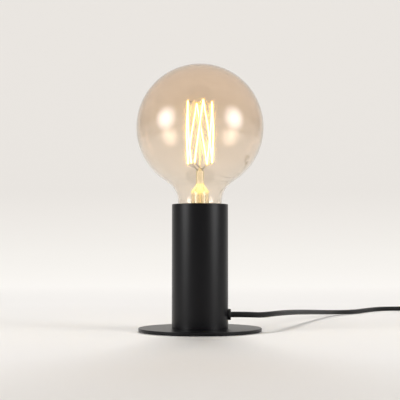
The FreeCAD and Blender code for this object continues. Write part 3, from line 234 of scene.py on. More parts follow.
@dataclass(frozen=True)
class Moulded(Finish):
    """Moulded plastic or rubber: the tool's fine grain shows as a soft unevenness."""

    grain_mm: float = 0.5
    grain_depth_mm: float = 0.01
    ior: float = 1.5
    unevenness: float = 0.05

    def dress(self, tree: bpy.types.NodeTree, shader: bpy.types.Node) -> None:
        """Give the moulding its grain."""
        shader.inputs["IOR"].default_value = self.ior
        value, normal = grain(tree, self.grain_mm, self.grain_depth_mm)
        tree.links.new(normal, shader.inputs["Normal"])
        tree.links.new(spread(tree, value, self.roughness - self.unevenness,
                              self.roughness + self.unevenness), shader.inputs["Roughness"])


@dataclass(frozen=True)
class Plated(Finish):
    """Bare or plated metal: drawn or turned, with fine marks along one way and a little tarnish."""

    mark_mm: float = 0.25
    mark_depth_mm: float = 0.002
    along: Point = (1.0, 1.0, 6.0)
    unevenness: float = 0.08
    cloud_mm: float = 6.0
    tarnish: Point = (0.86, 0.83, 0.78)

    def dress(self, tree: bpy.types.NodeTree, shader: bpy.types.Node) -> None:
        """Make it metal, and give it its marks and cloudy patches."""
        shader.inputs["Metallic"].default_value = 1.0
        marks, normal = grain(tree, self.mark_mm, self.mark_depth_mm, 2.0, self.along)
        clouds, _ = grain(tree, self.cloud_mm, 0.0)
        tree.links.new(normal, shader.inputs["Normal"])
        tree.links.new(spread(tree, marks, self.roughness - self.unevenness,
                              self.roughness + self.unevenness), shader.inputs["Roughness"])
        clean = linear(self.colour)
        dull = tuple(part * share for part, share in zip(clean, self.tarnish)) + (1.0,)
        tint = add_node(tree, "ShaderNodeMix", {
            "Factor": spread(tree, clouds, 0.0, 1.0), "A": dull, "B": clean}, data_type="RGBA")
        tree.links.new(tint.outputs["Result"], shader.inputs["Base Color"])


@dataclass(frozen=True)
class AmberGlass(Finish):
    """Thin blown soda-lime glass with an amber tint that is a little deeper towards the top.

    The wall is so thin that light goes nearly straight through; what shows are its tint, the
    studio's reflections in both walls, and a paler band at the rim.
    """

    foot_colour: str = "#FCF6EE"
    low_z: float = 0.150
    high_z: float = 0.235
    ior: float = 1.5
    haze: float = 0.12
    haze_roughness: float = 0.26

    def dress(self, tree: bpy.types.NodeTree, shader: bpy.types.Node) -> None:
        """Make it clear and tint it by height; its metal oxide film scatters a little."""
        shader.inputs["Transmission Weight"].default_value = 1.0
        shader.inputs["IOR"].default_value = self.ior
        place = add_node(tree, "ShaderNodeTexCoord")
        height = add_node(tree, "ShaderNodeSeparateXYZ", {"Vector": place.outputs["Object"]})
        share = add_node(tree, "ShaderNodeMapRange", {
            "Value": height.outputs["Z"], "From Min": self.low_z, "From Max": self.high_z})
        tint = add_node(tree, "ShaderNodeMix", {
            "Factor": share.outputs["Result"], "A": linear(self.foot_colour),
            "B": linear(self.colour)}, data_type="RGBA")
        tree.links.new(tint.outputs["Result"], shader.inputs["Base Color"])
        film = add_node(tree, "ShaderNodeBsdfGlass", {
            "Color": tint.outputs["Result"], "Roughness": self.haze_roughness, "IOR": self.ior})
        both = add_node(tree, "ShaderNodeMixShader", {
            0: self.haze, 1: shader.outputs[0], 2: film.outputs[0]})
        let_light_through(tree, both.outputs[0], tint.outputs["Result"])


@dataclass(frozen=True)
class StemGlass(Finish):
    """Drawn lead glass, clear and slightly warm, with smooth fire-polished faces."""

    ior: float = 1.56
    piped: str = "#FFE27C"
    piped_low_z: float = 0.1325
    piped_full_z: float = 0.1392
    piped_fade_z: float = 0.1445
    piped_top_z: float = 0.1465
    flare_strength: float = 0.3
    press_strength: float = 0.12
    skirt_strength: float = 0.05
    ripple_mm: float = 3.0
    ripple_depth_mm: float = 0.03

    def dress(self, tree: bpy.types.NodeTree, shader: bpy.types.Node) -> None:
        """Make it clear, with a slight ripple from the flame.

        A faint glow stands for the filament's light, which runs down inside the glass and comes
        out where the wall bends: most at the flare's shoulder, less in the press and the skirt.
        """
        place = add_node(tree, "ShaderNodeTexCoord")
        height = add_node(tree, "ShaderNodeSeparateXYZ", {"Vector": place.outputs["Object"]})
        rise = add_node(tree, "ShaderNodeMapRange", {
            "Value": height.outputs["Z"], "From Min": self.piped_low_z,
            "From Max": self.piped_full_z, "To Min": self.skirt_strength,
            "To Max": self.flare_strength}, interpolation_type="SMOOTHSTEP")
        fall = add_node(tree, "ShaderNodeMapRange", {
            "Value": height.outputs["Z"], "From Min": self.piped_fade_z,
            "From Max": self.piped_top_z, "To Min": self.flare_strength,
            "To Max": self.press_strength})
        level = add_node(tree, "ShaderNodeMath", {
            0: rise.outputs["Result"], 1: fall.outputs["Result"]}, operation="MINIMUM")
        shader.inputs["Emission Color"].default_value = linear(self.piped)
        tree.links.new(level.outputs[0], shader.inputs["Emission Strength"])
        shader.inputs["Transmission Weight"].default_value = 1.0
        shader.inputs["IOR"].default_value = self.ior
        _, normal = grain(tree, self.ripple_mm, self.ripple_depth_mm, 1.0)
        tree.links.new(normal, shader.inputs["Normal"])


@dataclass(frozen=True)
class LitTungsten(Finish):
    """Tungsten wire at a yellow-white heat."""

    glow: str = "#FFD873"
    strength: float = 13.0

    def dress(self, tree: bpy.types.NodeTree, shader: bpy.types.Node) -> None:
        """Make it glow."""
        shader.inputs["Metallic"].default_value = 1.0
        shader.inputs["Emission Color"].default_value = linear(self.glow)
        shader.inputs["Emission Strength"].default_value = self.strength


@dataclass(frozen=True)
class BraidedCotton(Finish):
    """Black cotton and rayon braid over the cord, 24 strands at 45 degrees.

    The strands are 0.7 mm wide and show as a fine diamond relief with a dusty sheen.
    """

    strand_mm: float = 0.72
    around_mm: float = 17.28
    relief_mm: float = 0.12
    relief_strength: float = 0.7
    length_m: float = 1.71
    # Shares of the dye that paint shade into the weave's hollows and a highlight onto its crowns.
    hollow_shade_share: float = 0.5
    crown_highlight_share: float = 1.3
    sheen: float = 0.15
    sheen_roughness: float = 0.5

    def dress(self, tree: bpy.types.NodeTree, shader: bpy.types.Node) -> None:
        """Weave two slanting sets of strands from the cord's own UV: along, and around. The dye is darkened
        in the hollows as painted shade and lightened on the crowns as a painted highlight.
        """
        place = add_node(tree, "ShaderNodeTexCoord")
        split = add_node(tree, "ShaderNodeSeparateXYZ", {"Vector": place.outputs["UV"]})
        turns = math.pi * self.around_mm / self.strand_mm / 2
        reach = math.pi * self.length_m / MM / self.strand_mm / 2
        waves = []
        for side in (-1.0, 1.0):
            along = add_node(tree, "ShaderNodeMath", {0: split.outputs["X"], 1: reach},
                             operation="MULTIPLY")
            slant = add_node(tree, "ShaderNodeMath", {
                0: split.outputs["Y"], 1: side * turns, 2: along.outputs[0]},
                operation="MULTIPLY_ADD")
            wave = add_node(tree, "ShaderNodeMath", {0: slant.outputs[0]}, operation="SINE")
            level = add_node(tree, "ShaderNodeMath", {0: wave.outputs[0]}, operation="ABSOLUTE")
            waves.append(level.outputs[0])
        weave = add_node(tree, "ShaderNodeMath", {0: waves[0], 1: waves[1]}, operation="MULTIPLY")
        bump = add_node(tree, "ShaderNodeBump", {
            "Height": weave.outputs[0], "Strength": self.relief_strength,
            "Distance": self.relief_mm * MM})
        tree.links.new(bump.outputs["Normal"], shader.inputs["Normal"])
        # Painted shade and highlight: a darker copy of the dye in the hollows between strands, a lighter one
        # on their crowns.
        dyed = linear(self.colour)[:3]
        hollow, lit_crown = (tuple(part * share for part in dyed) + (1.0,)
                         for share in (self.hollow_shade_share, self.crown_highlight_share))
        tint = add_node(tree, "ShaderNodeMix", {
            "Factor": weave.outputs[0], "A": hollow, "B": lit_crown}, data_type="RGBA")
        tree.links.new(tint.outputs["Result"], shader.inputs["Base Color"])
        shader.inputs["Sheen Weight"].default_value = self.sheen
        shader.inputs["Sheen Roughness"].default_value = self.sheen_roughness


# Satin black powder on the column and base: nearly neutral, a touch blue.
BLACK_POWDER = PowderCoat("black_powder_coat_on_steel", "#08080C", 0.33)
# Bright zinc on turned and pressed steel: pale, slightly yellow grey.
ZINC = Plated("bright_zinc_on_steel", "#C4C3BC", 0.34)
# Free-turning brass, unlacquered: warm yellow, fine turning marks.
BRASS = Plated("turned_brass", "#D2AF6A", 0.28)
# Spun brass of the screw cap, with the dull look of tin flux round the solder.
CAP_BRASS = Plated("spun_cap_brass", "#CDB27A", 0.32, 0.4)
# Satin nickel over brass: warmer than zinc, and smoother.
NICKEL = Plated("satin_nickel_on_brass", "#CFC9BE", 0.22)
# Rolled phosphor bronze strip: reddish, smooth along the strip.
BRONZE = Plated("rolled_phosphor_bronze", "#C08552", 0.3)
# Tin solder at the lamp's tip: a dull bright dome.
SOLDER = Plated("tin_solder", "#B9B8B5", 0.42, 0.8, 0.01, (1.0, 1.0, 1.0))
# Molybdenum and nickel-iron wire inside the globe: dark grey, drawn.
SUPPORT_WIRE = Plated("drawn_molybdenum_wire", "#7C7468", 0.4)
# Black phenolic of the lamp holder: hard, polished by the mould.
PHENOLIC = Moulded("black_phenolic", "#14110F", 0.26, 0.8, 0.006, 1.6)
# Glass-filled black nylon of the gland and the cord grip: dull, with fibre grain.
NYLON = Moulded("black_filled_nylon", "#121213", 0.52, 0.3, 0.01, 1.53)
# ABS of the switch, from a polished tool.
GLOSSY_ABS = Moulded("polished_black_abs", "#0E0E10", 0.2, 1.2, 0.004, 1.54)
# Flexible vinyl of the plug and the coil's tie: soft satin with spark-eroded grain.
VINYL = Moulded("black_flexible_vinyl", "#151516", 0.5, 0.35, 0.02, 1.53)
# Sheet rubber under the base: matt, dusty.
RUBBER = Moulded("sheet_rubber", "#1A1A1A", 0.82, 0.3, 0.03, 1.52)
# Unglazed fired steatite of the terminal block: cream, fine and dry.
STEATITE = Moulded("fired_steatite", "#E6E0D2", 0.62, 0.4, 0.01, 1.55)
# Fused black glass round the tip.
BLACK_GLASS = Moulded("fused_black_glass", "#08080B", 0.12, 2.5, 0.03, 1.52)
# Vinyl insulation of the cores.
BROWN_CORE = Moulded("brown_core_vinyl", "#5B3320", 0.42, 0.5, 0.006, 1.53)
BLUE_CORE = Moulded("blue_core_vinyl", "#2B5DA8", 0.42, 0.5, 0.006, 1.53)
AMBER = AmberGlass("amber_blown_glass", "#F5E8DA", 0.0)
STEM = StemGlass("drawn_lead_glass", "#F7F1E6", 0.0)
TUNGSTEN = LitTungsten("lit_tungsten", "#3A3733", 0.4)
BRAID = BraidedCotton("black_braided_cotton", "#0C0C0D", 0.85)


# ---------------------------------------------------------------- surfaces
def arc_through(start: Sequence[float], middle: Sequence[float], end: Sequence[float],
                count: int) -> np.ndarray:
    """Points on the circle through three points, from the first to the last, evenly by angle.

    Args:
        start: First point, (radius, height).
        middle: Any point on the arc between.
        end: Last point.
        count: How many steps.

    Returns:
        count + 1 points, shape (count + 1, 2).
    """
    a, b, c = (np.asarray(p, float) for p in (start, middle, end))
    rows = 2 * np.array([b - a, c - a])
    centre = np.linalg.solve(rows, np.array([b @ b - a @ a, c @ c - a @ a]))
    turns = [math.atan2(*(p - centre)[::-1]) for p in (a, b, c)]
    first = (turns[1] - turns[0] + math.pi) % (2 * math.pi) - math.pi
    second = (turns[2] - turns[1] + math.pi) % (2 * math.pi) - math.pi
    angle = turns[0] + np.linspace(0.0, 1.0, count + 1) * (first + second)
    return centre + np.linalg.norm(a - centre) * np.stack([np.cos(angle), np.sin(angle)], 1)


def revolved(rings: np.ndarray, around: int, start: int = 0) -> tuple[np.ndarray, np.ndarray]:
    """A surface of revolution: ring i, step j is (r_i cos a_j, r_i sin a_j, z_i).

    Args:
        rings: (radius, height) of each ring, none of them at the axis.
        around: Steps round the axis.
        start: Number of the first vertex.

    Returns:
        Vertices (n, 3) and quads (m, 4), facing away from the axis where the rings go up.
    """
    angle = np.linspace(0.0, 2 * math.pi, around, endpoint=False)
    x = rings[:, 0, None] * np.cos(angle)
    y = rings[:, 0, None] * np.sin(angle)
    z = np.broadcast_to(rings[:, 1, None], x.shape)
    verts = np.stack([x, y, z], -1).reshape(-1, 3)
    row, col = np.meshgrid(np.arange(len(rings) - 1), np.arange(around), indexing="ij")
    after = (col + 1) % around
    quads = np.stack([row * around + col, row * around + after,
                      (row + 1) * around + after, (row + 1) * around + col], -1)
    return verts, quads.reshape(-1, 4) + start


def carried_tube(path: np.ndarray, side: np.ndarray, radius: float,
                 sides: int) -> tuple[np.ndarray, list]:
    """A round tube along a path: point i, step j is p_i + radius (cos a_j n_i + sin a_j b_i).

    Args:
        path: Centre line, (n, 3).
        side: A direction at each point that isn't along the path.
        radius: The tube's radius.
        sides: Steps round it.

    Returns:
        Vertices, and faces with both ends closed.
    """
    along = np.gradient(path, axis=0)
    along /= np.linalg.norm(along, axis=1, keepdims=True)
    across = side - (side * along).sum(1, keepdims=True) * along
    across /= np.linalg.norm(across, axis=1, keepdims=True)
    third = np.cross(along, across)
    angle = np.linspace(0.0, 2 * math.pi, sides, endpoint=False)
    verts = path[:, None] + radius * (np.cos(angle)[None, :, None] * across[:, None]
                                      + np.sin(angle)[None, :, None] * third[:, None])
    row, col = np.meshgrid(np.arange(len(path) - 1), np.arange(sides), indexing="ij")
    after = (col + 1) % sides
    quads = np.stack([row * sides + col, row * sides + after, (row + 1) * sides + after,
                      (row + 1) * sides + col], -1).reshape(-1, 4)
    last = (len(path) - 1) * sides
    faces = quads.tolist() + [list(range(sides))[::-1], list(range(last, last + sides))]
    return verts.reshape(-1, 3), faces


def mesh_piece(name: str, verts: np.ndarray, faces: Sequence, finish: Finish, body: Body) -> bpy.types.Object:
    """Make a smooth-shaded piece of the object from worked-out vertices and faces.

    Args:
        name: The piece's name.
        verts: Vertices in the row frame.
        faces: Faces as lists of vertex numbers.
        finish: What it is finished with.
        body: The body that it rides on.

    Returns:
        The object.
    """
    mesh = bpy.data.meshes.new(name)
    mesh.from_pydata(verts.tolist(), [], faces)
    mesh.update()
    mesh.shade_smooth()
    mesh.materials.append(finish.material())
    piece = bpy.data.objects.new(name, mesh)
    bpy.context.scene.collection.objects.link(piece)
    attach(piece, body.value)
    LOG.info("%s: %d vertices, %d faces", name, len(mesh.vertices), len(mesh.polygons))
    return piece


def dress_nodes(finish: Finish, *nodes: str) -> None:
    """Give CAD nodes a finish.

    Args:
        finish: The finish.
        *nodes: Names of the nodes.
    """
    for node in nodes:
        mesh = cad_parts[node].data
        mesh.materials.clear()
        mesh.materials.append(finish.material())
        LOG.info("%s: %s", node, finish.name)


# ---------------------------------------------------------------- the lamp's sub-assemblies
@dataclass
class FootAndColumn:
    """Steel base, column and what holds them together."""

    coated: tuple[str, ...] = ("base_plate", "column_tube", "foot_ring")
    zinc: tuple[str, ...] = ("base_screws", "holder_bracket", "bracket_screws", "bracket_nuts",
                             "entry_washer", "entry_nuts")

    def build(self) -> None:
        """Dress the base, the column and the bracket inside it."""
        dress_nodes(BLACK_POWDER, *self.coated)
        dress_nodes(ZINC, *self.zinc)
        dress_nodes(BRASS, "entry_tube")
        dress_nodes(RUBBER, "foot_pad")


@dataclass
class LampHolder:
    """Phenolic screw holder with its steatite block, contacts and cores."""

    def build(self) -> None:
        """Dress the holder and its wiring."""
        dress_nodes(PHENOLIC, "holder_cap", "holder_body")
        dress_nodes(ZINC, "holder_grub_screw", "grip_screws")
        dress_nodes(STEATITE, "terminal_block")
        dress_nodes(BRASS, "terminal_screws")
        dress_nodes(BRONZE, "centre_contact")
        dress_nodes(NICKEL, "threaded_shell")
        dress_nodes(BROWN_CORE, "wire_live")
        dress_nodes(BLUE_CORE, "wire_neutral")
        dress_nodes(NYLON, "cord_gland", "gland_nut", "grip_saddle", "grip_strap")


@dataclass
class GlobeLamp:
    """The screw-in globe lamp: blown envelope, glass stem, caged filament and cap."""

    globe_radius: float = 0.0625
    globe_centre: float = 0.1995
    wall: float = 0.0009
    neck_radius: float = 0.0214
    neck_fillet: float = 0.024
    socket_radius: float = 0.0113
    cap_rim: float = 0.113
    glass_in_cap: float = 0.007
    rim_gap: float = 0.0004
    socket_edge: float = 0.002
    waist_inset: float = 0.0016
    shoulder_inset: float = 0.00045
    waist_share: float = 0.45
    shoulder_share: float = 0.72
    curl: tuple[float, float] = (0.62, 0.2)
    arc_steps: tuple[int, int, int, int] = (12, 10, 14, 88)
    around: int = 192

    def outline(self, inset: float) -> np.ndarray:
        """Half the envelope's section from its foot up to just short of the top.

        A sphere runs into the neck through a hollow fillet that is tangent to both, and the neck
        draws in to the cap with two more arcs.

        Args:
            inset: How far inside the outer face.

        Returns:
            (radius, height) points, (n, 2), from the foot to the last ring below the pole.
        """
        sphere = self.globe_radius - inset
        fillet = self.neck_fillet + inset
        neck = self.neck_radius - inset
        low = self.socket_radius - inset
        centre_r = neck + fillet
        drop = math.sqrt((sphere + fillet) ** 2 - centre_r ** 2)
        fillet_z = self.globe_centre - drop
        share = sphere / (sphere + fillet)
        join = (centre_r * share, self.globe_centre - drop * share)
        lean = math.atan2(join[1] - fillet_z, centre_r - join[0]) / 2
        mid_fillet = (centre_r - fillet * math.cos(lean), fillet_z + fillet * math.sin(lean))
        start = math.atan2(join[1] - self.globe_centre, join[0])
        half = (start + math.pi / 2) / 2
        mid_sphere = (sphere * math.cos(half), self.globe_centre + sphere * math.sin(half))
        rim = self.cap_rim + self.rim_gap
        rise = fillet_z - rim
        waist_r = neck - self.waist_inset
        waist = (waist_r, rim + self.waist_share * rise)
        out, up = self.curl
        curled = (low + out * (waist_r - low), rim + up * rise)
        shoulder = (neck - self.shoulder_inset, rim + self.shoulder_share * rise)
        foot = np.array([[low, self.cap_rim - self.glass_in_cap], [low, rim - self.socket_edge]])
        draw, flare, hollow, ball = self.arc_steps
        return np.concatenate([
            foot,
            arc_through((low, rim), curled, waist, draw),
            arc_through(waist, shoulder, (neck, fillet_z), flare)[1:],
            arc_through((neck, fillet_z), mid_fillet, join, hollow)[1:],
            arc_through(join, mid_sphere, (0.0, self.globe_centre + sphere), ball)[1:-1]])

    def envelope(self) -> bpy.types.Object:
        """The blown glass as one closed skin: outer face, inner face and the edge in the cap.

        Returns:
            The piece.
        """
        outer = self.outline(0.0)
        inner = self.outline(self.wall)
        verts_out, quads_out = revolved(outer, self.around)
        verts_in, quads_in = revolved(inner, self.around, len(verts_out))
        top = self.globe_centre + self.globe_radius
        poles = np.array([[0.0, 0.0, top], [0.0, 0.0, top - self.wall]])
        verts = np.concatenate([verts_out, verts_in, poles])
        step = np.arange(self.around)
        after = (step + 1) % self.around
        last_out = len(verts_out) - self.around
        last_in = len(verts) - 2 - self.around
        first_in = len(verts_out)
        cap_out = np.stack([last_out + step, last_out + after,
                            np.full(self.around, len(verts) - 2)], 1)
        cap_in = np.stack([last_in + after, last_in + step,
                           np.full(self.around, len(verts) - 1)], 1)
        edge = np.stack([after, step, first_in + step, first_in + after], 1)
        faces = (quads_out.tolist() + quads_in[:, ::-1].tolist() + cap_out.tolist()
                 + cap_in.tolist() + edge.tolist())
        piece = mesh_piece("lamp_envelope", verts, faces, AMBER, Body.BULB)
        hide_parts("bulb_glass")
        return piece

    def build(self) -> None:
        """Make the envelope and the filament, and dress the stem, the wires and the cap."""
        self.envelope()
        CagedFilament().build()
        dress_nodes(STEM, "stem_flare", "exhaust_tube", "support_rod")
        dress_nodes(SUPPORT_WIRE, "upper_supports", "lower_supports", "lead_wires")
        dress_nodes(CAP_BRASS, "cap_shell")
        dress_nodes(BLACK_GLASS, "cap_insulator")
        dress_nodes(SOLDER, "cap_contact")


@dataclass
class CagedFilament:
    """Fine tungsten coil drawn up and down between the hooks of a squirrel cage."""

    low_radius: float = 0.0138
    top_radius: float = 0.0122
    low_z: float = 0.1637
    high_z: float = 0.2261
    hooks: int = 4
    turn_deg: float = -75.0
    end_step: float = 0.82
    bow: float = 0.0012
    steps_per_strand: int = 48
    coil_radius: float = 0.0005
    wire_radius: float = 0.00022
    coil_pitch: float = 0.0008
    points_per_turn: int = 9
    wire_sides: int = 5
    bend_steps: int = 6

    def corners(self) -> np.ndarray:
        """Where the coil turns round: by turns at the bottom and at the top of the cage.

        Returns:
            Corner points, (n, 3).
        """
        steps = np.concatenate([[-self.end_step], np.arange(2 * self.hooks - 1),
                                [2 * self.hooks - 2 + self.end_step]])
        angle = np.radians(self.turn_deg + steps * 180.0 / self.hooks)
        high = np.arange(len(steps)) % 2 == 1
        radius = np.where(high, self.top_radius, self.low_radius)
        return np.stack([radius * np.cos(angle), radius * np.sin(angle),
                         np.where(high, self.high_z, self.low_z)], 1)

    def centre_line(self) -> np.ndarray:
        """The coil's own axis: strands that bow outwards, with a small bend over each hook.

        A strand between corners a and b is a + (b-a) t + bow sin(pi t) outwards. A bend is the
        quadratic curve (1-t)^2 a + 2t(1-t) corner + t^2 b between the strands' next points.

        Returns:
            Points about evenly spaced, (n, 3).
        """
        corners = self.corners()
        t = np.linspace(0.0, 1.0, self.steps_per_strand + 1)[:, None]
        strands = []
        for here, after in zip(corners, corners[1:]):
            straight = here + (after - here) * t
            outward = straight * np.array([1.0, 1.0, 0.0])
            outward /= np.linalg.norm(outward, axis=1, keepdims=True)
            strands.append(straight + self.bow * np.sin(math.pi * t) * outward)
        u = np.linspace(0.0, 1.0, self.bend_steps + 1)[1:-1, None]
        parts = [strands[0][:-1]]
        for here, before, after in zip(corners[1:-1], strands, strands[1:]):
            a, b = before[-2], after[1]
            parts.append((1 - u) ** 2 * a + 2 * u * (1 - u) * here + u ** 2 * b)
            parts.append(after[1:-1])
        parts.append(corners[-1:])
        rough = np.concatenate(parts)
        reach = np.concatenate([[0.0], np.cumsum(np.linalg.norm(np.diff(rough, axis=0), axis=1))])
        count = int(reach[-1] / self.coil_pitch * self.points_per_turn)
        even = np.linspace(0.0, reach[-1], count)
        return np.stack([np.interp(even, reach, rough[:, k]) for k in range(3)], 1)

    def build(self) -> None:
        """Wind the wire round the centre line: p + r (cos a n + sin a b), a full turn a pitch."""
        line = self.centre_line()
        along = np.gradient(line, axis=0)
        along /= np.linalg.norm(along, axis=1, keepdims=True)
        outward = line * np.array([1.0, 1.0, 0.0])
        outward -= (outward * along).sum(1, keepdims=True) * along
        outward /= np.linalg.norm(outward, axis=1, keepdims=True)
        third = np.cross(along, outward)
        turn = np.arange(len(line)) * 2 * math.pi / self.points_per_turn
        offset = np.cos(turn)[:, None] * outward + np.sin(turn)[:, None] * third
        wire = line + self.coil_radius * offset
        verts, faces = carried_tube(wire, offset, self.wire_radius, self.wire_sides)
        piece = mesh_piece("filament_coil", verts, faces, TUNGSTEN, Body.BULB)
        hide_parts("filament")


@dataclass
class CordAndFittings:
    """The textile cord from the gland through the switch and the put-away coil to the plug."""

    diameter: float = 0.0055
    length: float = 1.71
    coil_x: float = 0.329
    coil_y: float = 0.180
    outer_radius: float = 0.039
    inner_radius: float = 0.0235
    pitch: float = 0.0062
    climb_inward: float = 0.0022
    low_z: float = 0.0035
    high_z: float = 0.00945
    half_turns: int = 5
    points_per_half_turn: int = 12
    round_steps: int = 5
    along_steps: int = 5
    run: tuple[Point, ...] = (
        (0.0300, 0.0, 0.0165), (0.0450, 0.0, 0.0165), (0.0600, 0.0040, 0.0156),
        (0.0725, 0.0160, 0.0162), (0.0830, 0.0400, 0.0156), (0.0980, 0.0820, 0.0138),
        (0.1196, 0.1450, 0.0103), (0.1442, 0.2080, 0.0064), (0.1650, 0.2520, 0.0037),
        (0.1900, 0.2740, 0.00275), (0.2090, 0.3050, 0.00275), (0.2290, 0.3375, 0.00275),
        (0.2450, 0.3500, 0.00275), (0.2670, 0.3500, 0.00275), (0.2845, 0.3365, 0.004),
        (0.2920, 0.3160, 0.0065), (0.2920, 0.2950, 0.0065))
    link: tuple[Point, ...] = (
        (0.292, 0.243, 0.0065), (0.292, 0.231, 0.0065), (0.2925, 0.214, 0.0046),
        (0.290, 0.198, 0.0035), (0.290, 0.1855, 0.0035))
    end: tuple[Point, ...] = (
        (0.368, 0.1855, 0.00945), (0.368, 0.197, 0.00945), (0.3695, 0.212, 0.007),
        (0.3695, 0.224, 0.007))

    def coil(self) -> list[Point]:
        """Points of the coil: half turns inwards on the table, up, and outwards on top.

        Half turn k goes round the middle of its two ends, at half their distance, and rises
        evenly: (m + s r cos a, y -+ r sin a, z) with a from 0 to pi.

        Returns:
            The control points after the first stop.
        """
        step = self.pitch / 2
        stops = [(self.outer_radius - k * step, self.low_z) for k in range(self.half_turns + 1)]
        stops.append((self.inner_radius - self.climb_inward, self.high_z))
        stops += [(self.inner_radius + k * step, self.high_z)
                  for k in range(1, self.half_turns + 1)]
        points: list[Point] = []
        share = np.arange(1, self.points_per_half_turn + 1) / self.points_per_half_turn
        for k, ((reach, low), (onward, high)) in enumerate(zip(stops, stops[1:])):
            side = -1.0 if k % 2 == 0 else 1.0
            middle = self.coil_x + side * (reach - onward) / 2
            radius = (reach + onward) / 2
            x = middle + side * radius * np.cos(math.pi * share)
            y = self.coil_y + side * radius * np.sin(math.pi * share)
            z = low + (high - low) * share
            points += list(zip(x.tolist(), y.tolist(), z.tolist()))
        return points

    def cord(self) -> bpy.types.Object:
        """The whole cord as one spline, straight through the switch.

        Returns:
            The cord.
        """
        points = list(self.run) + list(self.link) + self.coil() + list(self.end)
        curve = bpy.data.curves.new("textile_cord", "CURVE")
        curve.dimensions = "3D"
        curve.bevel_depth = self.diameter / 2
        curve.bevel_resolution = self.round_steps
        curve.use_fill_caps = True
        curve.resolution_u = self.along_steps
        curve.render_resolution_u = self.along_steps
        spline = curve.splines.new("NURBS")
        spline.points.add(len(points) - 1)
        flat = np.array([(*p, 1.0) for p in points]).ravel()
        spline.points.foreach_set("co", flat)
        spline.order_u = 3
        spline.use_endpoint_u = True
        curve.materials.append(BRAID.material())
        piece = bpy.data.objects.new("textile_cord", curve)
        bpy.context.scene.collection.objects.link(piece)
        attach(piece, Body.ROOT.value)
        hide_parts("cord_run", "cord_link", "cord_end", "cord_coil")
        LOG.info("textile_cord: %d control points", len(points))
        return piece

    def build(self) -> None:
        """Lay the cord and dress the switch, the plug and the tie."""
        cord = self.cord()
        dress_nodes(BRAID, "cord_tail")
        dress_nodes(GLOSSY_ABS, "switch_base", "switch_cover", "switch_rocker")
        dress_nodes(ZINC, "switch_axle", "switch_screws")
        dress_nodes(BRASS, "switch_contacts")
        dress_nodes(VINYL, "plug_body", "plug_sleeve", "coil_tie")
        dress_nodes(NICKEL, "plug_pins")
        dress_nodes(NYLON, "pin_collars")


